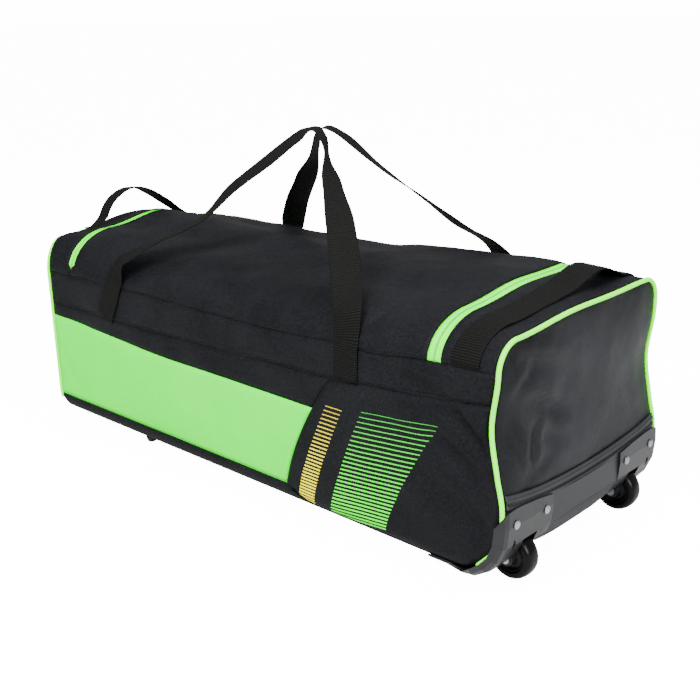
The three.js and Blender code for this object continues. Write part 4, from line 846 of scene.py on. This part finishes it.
# Free parts of the carry handles: along, out and up as shares of half the length, half the
# width and the handle's height, the breadth's share, and the direction across the strap.
handleTable = {
    "nearLeft": [
        (-0.532, -0.975, 0.605, 1, 0.75, -0.6, -0.2), (-0.436, -0.76, 0.664, 1, 0.7, -0.7, 0),
        (-0.311, -0.56, 0.729, 0.95, 0.8, -0.6, 0.02), (-0.213, -0.42, 0.822, 0.95, 0.87, -0.48, -0.08),
        (-0.091, -0.255, 0.913, 1, 0.88, -0.46, -0.12), (-0.004, -0.14, 0.978, 0.85, 0.74, -0.6, -0.3),
        (0.036, -0.086, 0.998, 0.6, 0.3, -0.93, -0.2)],
    "nearRight": [
        (0.075, -0.1, 0.985, 0.55, 0.05, -0.95, 0.2), (0.125, -0.17, 0.94, 0.5, 0.14, -0.69, 0.73),
        (0.21, -0.34, 0.87, 0.75, -0.5, -0.85, 0.3), (0.31, -0.53, 0.78, 0.95, -0.73, -0.69, 0),
        (0.4, -0.73, 0.69, 1, -0.8, -0.6, 0), (0.48, -0.935, 0.6, 1, -0.99, -0.1, 0)],
    "farLeft": [
        (-0.53, 1.03, 0.6, 1, 0.95, 0.3, 0), (-0.4, 0.79, 0.71, 0.95, 0.73, 0.69, 0),
        (-0.25, 0.54, 0.81, 0.85, 0.73, 0.69, 0), (-0.11, 0.3, 0.915, 0.5, -0.3, 0.95, 0),
        (-0.025, 0.13, 0.978, 0.45, -0.5, 0.86, 0), (0.02, 0.1, 0.996, 0.5, -0.2, 0.97, 0.1)],
    "farRight": [
        (0.078, 0.131, 0.978, 0.6, -0.1, 0.98, -0.1), (0.173, 0.337, 0.881, 0.8, -0.5, 0.85, -0.1),
        (0.271, 0.554, 0.794, 0.95, -0.85, 0.5, 0), (0.362, 0.749, 0.713, 1, -0.95, 0.3, 0),
        (0.43, 0.92, 0.66, 1, -0.97, 0.25, 0), (0.47, 1.035, 0.6, 1, -1, 0.05, 0)],
}


def freeRows(table):
    return [(np.array([a * halfLength, o * halfWidth, u * handleHeight]),
             np.array([fx, fy, fz], float), b * webbingWidth) for a, o, u, b, fx, fy, fz in table]


def catmull(points, ts):
    # A centripetal curve through the points, read at ts from 0 to 1
    points = np.array(points)
    last = len(points) - 1
    result = []
    for t in ts:
        place = min(t * last, last - 1e-9)
        i = int(place)
        w = place - i
        p1, p2 = points[i], points[i + 1]
        p0 = points[i - 1] if i > 0 else 2 * p1 - p2
        p3 = points[i + 2] if i + 2 <= last else 2 * p2 - p1
        d0, d1, d2 = (max(1e-4, np.sum((b - a)**2)**0.25) for a, b in ((p0, p1), (p1, p2), (p2, p3)))
        t1 = ((p1 - p0) / d0 - (p2 - p0) / (d0 + d1) + (p2 - p1) / d1) * d1
        t2 = ((p2 - p1) / d1 - (p3 - p1) / (d1 + d2) + (p3 - p2) / d2) * d1
        result.append((2 * w**3 - 3 * w**2 + 1) * p1 + (w**3 - 2 * w**2 + w) * t1
                      + (3 * w**2 - 2 * w**3) * p2 + (w**3 - w**2) * t2)
    return np.array(result)


def easedRows(rows, count):
    ts = np.linspace(0, 1, count + 1)
    points = catmull([row[0] for row in rows], ts)
    result = []
    for t, point in zip(ts, points):
        place = t * (len(rows) - 1)
        i = min(len(rows) - 2, int(place))
        part = ease(place - i)
        result.append((point, mix(rows[i][1], rows[i + 1][1], part), mix(rows[i][2], rows[i + 1][2], part)))
    return result


def sewnNear(low, high, turned, topPlaces):
    across = np.array([1, 0, turned], float)
    across /= np.linalg.norm(across)
    bottom = float(lowerLine(low)) + 2 * webbingWall
    seam = float(upperLine(high, -1))

    def place(z):
        return mix(low, high, float(clamp((z - bottom) / (seam - bottom), 0, 1.4)))

    heights = np.linspace(bottom, mix(bottom, seam, 0.95), 7)
    rows = [(overSide(-1, place(z), z), across, webbingWidth) for z in heights]
    for t in topPlaces:
        rows.append(overTop(place(float(topPoint(high, t)[2])), t, webbingWidth, across))
    return rows


def sewnFar(x):
    bottom = float(lowerLine(x)) + 2 * webbingWall
    heights = np.linspace(bottom, mix(bottom, farSeamHeight, 0.93), 7)
    return [(overSide(1, x, z), lengthwise, webbingWidth) for z in heights]


def strapPiece(name, rows, node, thick=webbingWall):
    # Rows are thinned onto an even spacing, so the ribs keep one size along the strap.
    path = np.array([row[0] for row in rows])
    lengths = np.concatenate([[0], np.cumsum(np.linalg.norm(np.diff(path, axis=0), axis=1))])
    fine = np.linspace(0, lengths[-1], int(lengths[-1] / 5))
    smooth = catmullAlong(path, lengths, fine)
    across = np.stack([np.interp(fine, lengths, [row[1][i] for row in rows]) for i in range(3)], axis=1)
    wide = np.interp(fine, lengths, [row[2] for row in rows])
    piece = tube(name, smooth, across, wide, thick, 20, 0.45)
    return finishPiece(piece, strapWebbing, "bag", "webbing", node)


def catmullAlong(path, lengths, at):
    index = np.interp(at, lengths, np.arange(len(path)))
    return catmull(path, index / (len(path) - 1))


def carryHandle(name, left, table, gripTable, right, node):
    free = easedRows(freeRows(table) + freeRows(gripTable), 60)
    back = [(point, -across, breadth) for point, across, breadth in right][::-1]
    return strapPiece(name, left + free + back, node)


leftFoot, rightFoot = handleLeft - 50, handleRight - 8
carryHandle("near_handle_webbing", sewnNear(leftFoot, leftFoot + 24, -0.5, (0.02, 0.05)),
            handleTable["nearLeft"], handleTable["nearRight"], sewnNear(rightFoot, rightFoot, 0, (0.03,)),
            "carry_handle_near")
carryHandle("far_handle_webbing", sewnFar(handleLeft), handleTable["farLeft"],
            handleTable["farRight"], sewnFar(handleRight - 12), "carry_handle_far")

# The loose loop at the pull end: out and up as shares, and how far its outer edge tips up.
grabPullTable = [(-0.45, 0.89, 0), (-0.4, 0.93, 0), (-0.32, 0.967, 0), (-0.183, 0.996, 0.05),
                 (-0.046, 0.997, 0.12), (0.103, 0.965, 0.3), (0.274, 0.912, 0.34), (0.4, 0.868, 0.2)]
grabPullRows = [(np.array([grabPullPlace, out * halfWidth, up * grabPullHeight]),
                 np.array([1.0, 0, tip]), narrowWebbing) for out, up, tip in grabPullTable]
strapPiece("pull_grab_webbing", [overTop(grabPullPlace, t, narrowWebbing * 0.9) for t in (0.27, 0.295)]
           + easedRows(grabPullRows, 30)
           + [overTop(grabPullPlace, t, narrowWebbing * 0.9) for t in (0.77, 0.8, 0.83)],
           "grab_handle_pull_end")

grabWheelTable = {"along": [0.42, 0.46, 0.51, 0.57, 0.63, 0.69, 0.75, 0.8, 0.85],
                  "rise": [0, 0, 0.1, 0.25, 0.7, 1.1, 1.0, 0.5, 0]}


def bandRows():
    rows = []
    for t in np.linspace(0.015, 0.985, 70):
        point, across, breadth = overTop(bandPlace, t, webbingWidth)
        rise = float(read(grabWheelTable, "rise", t)) if 0.42 < t < 0.85 else 0.0
        rows.append((point + np.array([0, 0, rise * grabWheelRise]), across, breadth))
    return rows


strapPiece("wheel_band_webbing", bandRows(), "grab_handle_wheel_end")
print("stage: straps ready")


# Stitches and zip teeth: one small unit repeated along a line
def repeatTree():
    tree = bpy.data.node_groups.new("repeat_along", "GeometryNodeTree")
    for name, kind in (("Geometry", "NodeSocketGeometry"), ("Unit", "NodeSocketObject"),
                       ("Size", "NodeSocketFloat"), ("Look", "NodeSocketMaterial")):
        tree.interface.new_socket(name, in_out="INPUT", socket_type=kind)
    tree.interface.new_socket("Geometry", in_out="OUTPUT", socket_type="NodeSocketGeometry")
    start = add(tree, "NodeGroupInput")
    unit = add(tree, "GeometryNodeObjectInfo", {"As Instance": True}, Object=start.outputs["Unit"])
    turn = add(tree, "GeometryNodeInputNamedAttribute", {"data_type": "FLOAT_VECTOR", "Name": "turn"})
    placed = add(tree, "GeometryNodeInstanceOnPoints", None, Points=start.outputs["Geometry"],
                 Instance=unit.outputs["Geometry"], Rotation=turn.outputs["Attribute"],
                 Scale=start.outputs["Size"])
    real = add(tree, "GeometryNodeRealizeInstances", None, Geometry=placed.outputs[0])
    painted = add(tree, "GeometryNodeSetMaterial", None, Geometry=real.outputs[0],
                  Material=start.outputs["Look"])
    end = tree.nodes.new("NodeGroupOutput")
    tree.links.new(painted.outputs[0], end.inputs["Geometry"])
    return tree


repeatAlong = repeatTree()


def unitObject(name, long, wide, high, rings, sides):
    # A small lozenge with round ends, long in X
    points, faces = [], []
    for i in range(rings + 1):
        t = math.pi * i / rings
        swell = math.sin(t)**0.5 if 0 < i < rings else 0.02
        for j in range(sides):
            turn = 2 * math.pi * j / sides
            points.append((-math.cos(t) * long / 2, math.cos(turn) * swell * wide / 2,
                           math.sin(turn) * swell * high / 2))
    for i in range(rings):
        for j in range(sides):
            k = (j + 1) % sides
            faces.append((i * sides + j, (i + 1) * sides + j, (i + 1) * sides + k, i * sides + k))
    faces.append(tuple(range(sides)))
    faces.append(tuple(rings * sides + j for j in range(sides))[::-1])
    mesh = bpy.data.meshes.new(name)
    mesh.from_pydata([tuple(c / 1000 for c in point) for point in points], [], faces)
    for polygon in mesh.polygons:
        polygon.use_smooth = True
    return bpy.data.objects.new(name, mesh)


# lines is a list of (points, normals): the units lie along each line, their tops to the normals.
def repeatPiece(name, unit, lines, material, slot, stand):
    places, turns = [], []
    for points, normals in lines:
        points = settle(points)
        along = np.gradient(points, axis=0)
        for point, direction, normal in zip(points, along, normals):
            x = Vector(direction).normalized()
            z = Vector(normal)
            y = z.cross(x).normalized()
            z = x.cross(y)
            places.append(tuple((point + np.array(z) * stand + shift) / 1000))
            turns.append(Matrix((x, y, z)).transposed().to_euler())
    mesh = bpy.data.meshes.new(name + "_places")
    mesh.from_pydata(places, [], [])
    attribute = mesh.attributes.new("turn", "FLOAT_VECTOR", "POINT")
    attribute.data.foreach_set("vector", [value for turn in turns for value in turn])
    holder = bpy.data.objects.new(name, mesh)
    scene.collection.objects.link(holder)
    modifier = holder.modifiers.new("repeat", "NODES")
    modifier.node_group = repeatAlong
    values = {"Unit": unit, "Size": 1.0, "Look": material}
    for item in repeatAlong.interface.items_tree:
        if item.item_type == "SOCKET" and item.in_out == "INPUT" and item.name in values:
            modifier[item.identifier] = values[item.name]
    scene.view_layers[0].update()
    graph = bpy.context.evaluated_depsgraph_get()
    plain = bpy.data.meshes.new_from_object(holder.evaluated_get(graph))
    holder.modifiers.clear()
    holder.data = plain
    return finishPiece(holder, material, "bag", slot)


def sideNormal(points, side):
    return [np.array([0.0, side, 0.0])] * len(points)


def topNormals(x, ts):
    normals = []
    for a, t in zip(np.broadcast_to(x, len(ts)), ts):
        alongX = topPoint(a + 2, t) - topPoint(a - 2, t)
        alongT = topPoint(a, t + 1e-3) - topPoint(a, t - 1e-3)
        normal = np.cross(alongX, alongT)
        normals.append(normal / np.linalg.norm(normal))
    return normals


stitchPitch = 3.6
stitch = unitObject("stitch", 2.8, 0.7, 0.6, 6, 6)


def seamStitches():
    lines = []
    inner = halfLength - pipeRoom - 4
    xs = spaced(-inner, inner, stitchPitch)
    for rise in (2.6, 7.8):
        inLid = xs[(xs > pullZipInner + 3) & (xs < wheelZipInner - 3)]
        t = rise * nearArc / (0.5 * math.pi * 55)
        lines.append((np.array([topPoint(x, t) for x in inLid]), topNormals(inLid, [t] * len(inLid))))
    for side in (-1, 1):
        for offset in (2.6, 7.4):
            points = np.array([sidePoint(side, x, float(lowerLine(x)) + offset) for x in xs])
            lines.append((points, sideNormal(points, side)))
    zs = spaced(28, 196, 3)
    curve = resample(np.array([sidePoint(-1, curvedSeamPlace + 4, z) for z in zs]), stitchPitch)
    lines.append((curve, sideNormal(curve, -1)))
    for place in (pullZipOuter - 1, pullZipInner + 1, wheelZipInner - 3, wheelZipOuter + 3):
        ts = spaced(0.02, 0.94, 0.008)
        points = np.array([topPoint(place, t) for t in ts])
        lines.append((points, topNormals(place, ts)))
    repeatPiece("seam_stitches", stitch, lines, threadBlack, "black_cloth", 0.05)


seamStitches()

toothPitch = 2.6
tooth = unitObject("zip_tooth", 1.9, 3.0, 1.6, 6, 8)


def zipTeeth():
    def run(place, ts):
        fine = np.array([topPoint(place, t) for t in ts])
        points = resample(fine, toothPitch)
        at = np.linspace(ts[0], ts[-1], len(points))
        return points, topNormals(place, at)

    xs = spaced(zipPullPlace + 8, zipWheelPlace - 8, toothPitch)
    far = np.array([topPoint(x, 0.975) for x in xs])
    lines = [run(zipPullPlace, spaced(0.012, 0.97, 0.004)), (far, topNormals(xs, [0.975] * len(xs))),
             run(zipWheelPlace, spaced(0.012, 0.97, 0.004))]
    repeatPiece("zip_teeth", tooth, lines, zipNylon, "lime_trim", 0.3 - tapeDepth)


zipTeeth()
print("stage: stitches and zip teeth ready")

# The two ends
endCreases = {
    1: [(-140, 284, -40, 240, 7.0, 11), (-150, 230, -92, 268, 4.0, 9), (-136, 236, -24, 182, 8.0, 9),
        (-96, 200, -112, 136, 5.5, 8), (-154, 210, -122, 144, 5.0, 9), (-96, 178, -30, 148, 5.0, 10),
        (-138, 126, -50, 146, 3.0, 9), (-60, 266, -14, 206, 2.0, 14)],
    -1: [(-110, 250, -40, 220, 1.6, 10), (60, 240, 120, 180, 1.4, 12)],
}


def endPanel(name, end, node):
    inset = pipeRoom * 1.12
    ks = np.concatenate([spaced(0.3, 1, 0.03), spaced(1, 1 + nearArc, 0.02)[1:]])
    ss = np.linspace(0, 1, 64)
    near = endOutline(end, ks, inset)
    mirrored = np.where(ks <= 1, 3 - ks, 2 - (ks - 1) * (1 - farArc) / nearArc)
    far = endOutline(end, mirrored, inset)
    level = endOutline(end, 1 + (nearArc + farArc) / 2, inset)[0][2]
    atTop = clamp((ks - 1) / nearArc, 0, 1)**4
    s = ss[:, None]
    grid = near[None] + (far - near)[None] * s[..., None]
    rise = (level - (near[:, 2] + far[:, 2]) / 2)[None] * (1 - np.cos(2 * np.pi * s)) / 2
    grid[..., 2] += rise * atTop[None]
    grid[..., 0] = endFace(end, grid[..., 1], grid[..., 2])
    flip = end < 0
    grid = crumple(grid, flip, 70, 2.0, 4 + end, endCreases[end], grid[..., 1], grid[..., 2])
    grid = seamTurn(grid, flip, ("u0", "u1", "v1"), 1.0, 6.0)
    return finishPiece(sheetPiece(name, grid, clothWall, flip), endCloth, "bag", "black_cloth", node)


endPanel("wheel_end_cloth", 1, "end_panel_wheel")
endPanel("pull_end_cloth", -1, "end_panel_pull")

kicks = {
    "wheel": {"end": 1, "round": wheelEndRound, "stand": kickStand, "top": kickHeightWheel, "sag": kickSag,
              "power": 8, "cornerFull": housingFull, "middleFull": 0.24},
    "pull": {"end": -1, "round": pullEndRound, "stand": kickStandPull, "top": kickHeightPull, "sag": 0,
             "power": 24, "cornerFull": 0, "middleFull": 0},
}
kickReach = halfWidth - 2 * pipingRadius - edgeGap * 4


def kickPoint(kick, s, q):
    s, q = np.broadcast_arrays(np.asarray(s, float), np.asarray(q, float))
    hollow = kick["stand"] * (1 - 0.7 * np.abs(s)**kick["power"])
    between = clamp(1 - (np.abs(s) * kickReach / housingInner)**4, 0, 1)
    fuller = 1 - mix(kick["cornerFull"], kick["middleFull"], between)
    turn = np.minimum(q, 1) * np.pi / 2
    bend = baseHeight + kick["round"] * (1 - np.maximum(0, np.cos(turn))**fuller)
    up = np.maximum(0, q - 1)
    z = mix(bend, kick["top"] - kick["sag"] * (1 - s * s), up)
    y = s * np.minimum(kickReach, halfWidthAt(z) - edgeGap)
    x = halfLength - kick["round"] + (kick["round"] + hollow) * np.sin(turn)**fuller
    x = x - hollow * 0.45 * up * up + seamGap * (1 - np.minimum(q, 1))
    over = np.abs(endFace(kick["end"], y, z)) + kickWall + 2 * seamGap
    x = np.where(q > 1, np.maximum(x, over), x)
    return stack(kick["end"] * x, y, z)


# Ribs run along the sheet's length across the bag; pitch and depth in millimetres.
def kickSheet(name, kick, node, pitch, depth):
    ss = np.linspace(-1, 1, 64)
    qs = np.concatenate([np.linspace(0, 1, 190), np.linspace(1, 2, 120)[1:]])
    s, q = np.meshgrid(ss, qs, indexing="ij")
    grid = kickPoint(kick, s, q)
    steps = np.linalg.norm(np.diff(grid, axis=1), axis=2)
    run = np.concatenate([np.zeros((len(ss), 1)), np.cumsum(steps, axis=1)], axis=1)
    flip = kick["end"] < 0
    middle = run[len(ss) // 2][None]
    ribs = -(np.cos(middle / pitch * 2 * np.pi) * 0.5 + 0.5)**2
    grid = grid + normalsOf(grid, flip) * (ribs * depth)[..., None]
    keep = None
    if kick["end"] > 0:
        room = (wheelSide - 20.2, wheelSide + 20.2)
        cellY = np.abs((grid[:-1, :-1, 1] + grid[1:, 1:, 1]) / 2)
        cellZ = (grid[:-1, :-1, 2] + grid[1:, 1:, 2]) / 2
        cellX = (grid[:-1, :-1, 0] + grid[1:, 1:, 0]) / 2
        keep = ~((cellY > room[0]) & (cellY < room[1]) & (cellZ < 66) & (cellX > 404))
    piece = sheetPiece(name, grid, kickWall - depth, flip, keep, kickLimit)
    # The groove depth drives the painted shade in the rubber's grooves.
    grooves = np.tile(np.broadcast_to(-ribs, grid.shape[:2]).ravel(), 2)
    piece.data.attributes.new("groove", "FLOAT", "POINT").data.foreach_set("value", grooves)
    return finishPiece(piece, kickRubber, "bag", "kick_rubber", node)


kickSheet("wheel_kick_sheet", kicks["wheel"], "kick_panel_wheel_end", 4.0, 1.2)
kickSheet("pull_kick_sheet", kicks["pull"], "kick_panel_pull_end", 3.1, 0.4)


def hemPiece():
    ss, vs = np.linspace(-1, 1, 80), np.linspace(0, 1, 17)
    s, v = np.meshgrid(ss, vs, indexing="ij")
    edge = kickPoint(kicks["wheel"], s, 2 + 0 * s)
    z = edge[..., 2] + seamGap + v * hemWidth
    face = endFace(1, edge[..., 1], z) + seamGap + hemWall
    x = mix(np.maximum(edge[..., 0], face), face, v)
    grid = stack(x, edge[..., 1], z)
    puff = np.sin(np.pi * v) * 0.9 - 0.7 * np.exp(-((v - 0.62) / 0.1)**2)
    grid = grid + normalsOf(grid, False) * puff[..., None]
    piece = sheetPiece("kick_hem_tape", grid, hemWall)
    return finishPiece(piece, hemBinding, "bag", "black_cloth", "kick_hem_wheel_end")


hemPiece()
print("stage: ends ready")

# Wheels, turned finer than their solids
wheelRadius, wheelWidth, hubRadius, axleRadius = 30.0, 25.0, 19.5, 4.0


# A ring turned about Y: rows hold radius and half width from the outer edge of one face to the
# middle of the tread, and the ring mirrors them.
def turnedPiece(name, rows, centre, material, body, slot, node):
    profile = [(r, y) for r, y in rows] + [(r, -y) for r, y in rows[::-1] if y > 1e-6]
    count, segments = len(profile), 96
    points, uvs = [], []
    for i in range(segments):
        angle = 2 * math.pi * i / segments
        for j, (radius, y) in enumerate(profile):
            points.append((centre[0] + radius * math.cos(angle), centre[1] + y,
                           centre[2] + radius * math.sin(angle)))
            uvs.append((angle * radius / 1000, y / 1000))
    faces = []
    for i in range(segments):
        following = (i + 1) % segments
        for j in range(count):
            k = (j + 1) % count
            faces.append((i * count + j, following * count + j, following * count + k, i * count + k))
    piece = makeObject(name, points, faces, uvs)
    return finishPiece(piece, material, body, slot, node)


def makeWheel(side, label):
    half = wheelWidth / 2
    centre = (wheelPlace, side * wheelSide, wheelRadius)
    shoulder = wheelRadius * 0.78
    turns = np.linspace(0, math.pi / 2, 12)
    tread = [(shoulder + (wheelRadius - shoulder) * math.sin(t)**0.9, half * math.cos(t)**0.75)
             for t in turns]
    tread[-1] = (wheelRadius, 0.0)
    seat = [(hubRadius + 0.2, half * 0.8), (hubRadius + 0.6, half * 0.9), (hubRadius + 1.6, half * 0.97)]
    turnedPiece("tyre_cast_" + label, seat + tread, centre, tyreUrethane, "wheel_" + label,
                "wheel_tyre", "tyre_" + label)
    rim = hubRadius - 0.2
    bore = axleRadius + 0.4
    hubRows = [(bore, half * 0.92), (bore + 0.6, half * 0.95), (bore * 1.8, half * 0.93),
               (bore * 1.9, half * 0.86), (bore * 2.2, half * 0.45), (rim * 0.82, half * 0.4),
               (rim * 0.9, half * 0.55), (rim * 0.96, half * 0.8), (rim, half * 0.8)]
    turnedPiece("hub_moulded_" + label, hubRows, centre, hubNylon, "wheel_" + label,
                "wheel_hub", "hub_" + label)


makeWheel(-1, "near")
makeWheel(1, "far")
print("stage: wheels ready")

# Hard parts keep their CAD shape
hardLooks = {
    "wheel_housing": housingPlastic, "foot": housingPlastic, "rivet": nickel, "axle": nickel,
    "tyre": tyreUrethane, "hub": hubNylon, "zip_slider": nickel,
}
for name, node in nodes.items():
    for start, material in hardLooks.items():
        if name.startswith(start):
            node.data.materials.clear()
            node.data.materials.append(material)
            for polygon in node.data.polygons:
                polygon.use_smooth = True
            node.data.set_sharp_from_angle(angle=math.radians(32))
            if start == "wheel_housing":
                edge = node.modifiers.new("rounded_edges", "BEVEL")
                edge.width = 0.0007
                edge.segments = 2
                edge.limit_method = "ANGLE"
                edge.angle_limit = math.radians(50)

# Floor, light and finish
# The camera sees the floor and the backdrop brighter than they light the bag, as in a cut-out
# studio picture, and the floor keeps a soft shadow.
def makeFloor():
    size = 60.0
    corners = [(-size, -size, 0), (size, -size, 0), (size, size, 0), (-size, size, 0)]
    mesh = bpy.data.meshes.new("floor")
    mesh.from_pydata(corners, [], [(0, 1, 2, 3)])
    floor = bpy.data.objects.new("floor", mesh)
    scene.collection.objects.link(floor)
    material, tree, shader = newMaterial("studio_floor", {
        "Roughness": 0.9, "Specular IOR Level": 0.1, "Base Color": linear("#cfcfcf")})
    glow = add(tree, "ShaderNodeEmission", {"Strength": 14.0})
    both = add(tree, "ShaderNodeAddShader", None, shader.outputs[0], glow.outputs[0])
    seen = add(tree, "ShaderNodeLightPath")
    shown = add(tree, "ShaderNodeMixShader", None, seen.outputs["Is Camera Ray"],
                shader.outputs[0], both.outputs[0])
    tree.links.new(shown.outputs[0], tree.nodes["Material Output"].inputs["Surface"])
    mesh.materials.append(material)


def makeLight(name, place, aim, size, power, tint="#ffffff"):
    data = bpy.data.lights.new(name, "AREA")
    data.shape = "RECTANGLE"
    data.size, data.size_y = size
    data.energy = power
    data.color = linear(tint)[:3]
    light = bpy.data.objects.new(name, data)
    light.location = place
    light.rotation_euler = (Vector(aim) - Vector(place)).to_track_quat("-Z", "Y").to_euler()
    scene.collection.objects.link(light)


def makeWorld():
    world = bpy.data.worlds.new("studio")
    world.use_nodes = True
    tree = world.node_tree
    soft = tree.nodes["Background"]
    soft.inputs["Strength"].default_value = 0.68
    backdrop = add(tree, "ShaderNodeBackground", {"Strength": 15.0})
    for shade in (soft, backdrop):
        shade.inputs["Color"].default_value = (1, 1, 1, 1)
    seen = add(tree, "ShaderNodeLightPath")
    shown = add(tree, "ShaderNodeMixShader", None, seen.outputs["Is Camera Ray"],
                soft.outputs[0], backdrop.outputs[0])
    tree.links.new(shown.outputs[0], tree.nodes["World Output"].inputs["Surface"])
    scene.world = world


makeFloor()
makeWorld()
makeLight("key", (0.5, -2.2, 2.3), (0, 0, 0.2), (1.5, 1.5), 235)
makeLight("wheel_side", (3.0, -0.4, 1.5), (0.4, 0, 0.2), (1.0, 1.4), 140)
makeLight("top", (0.2, 0.8, 3.0), (0, 0, 0.2), (2.0, 1.4), 70)

print("stage: done")
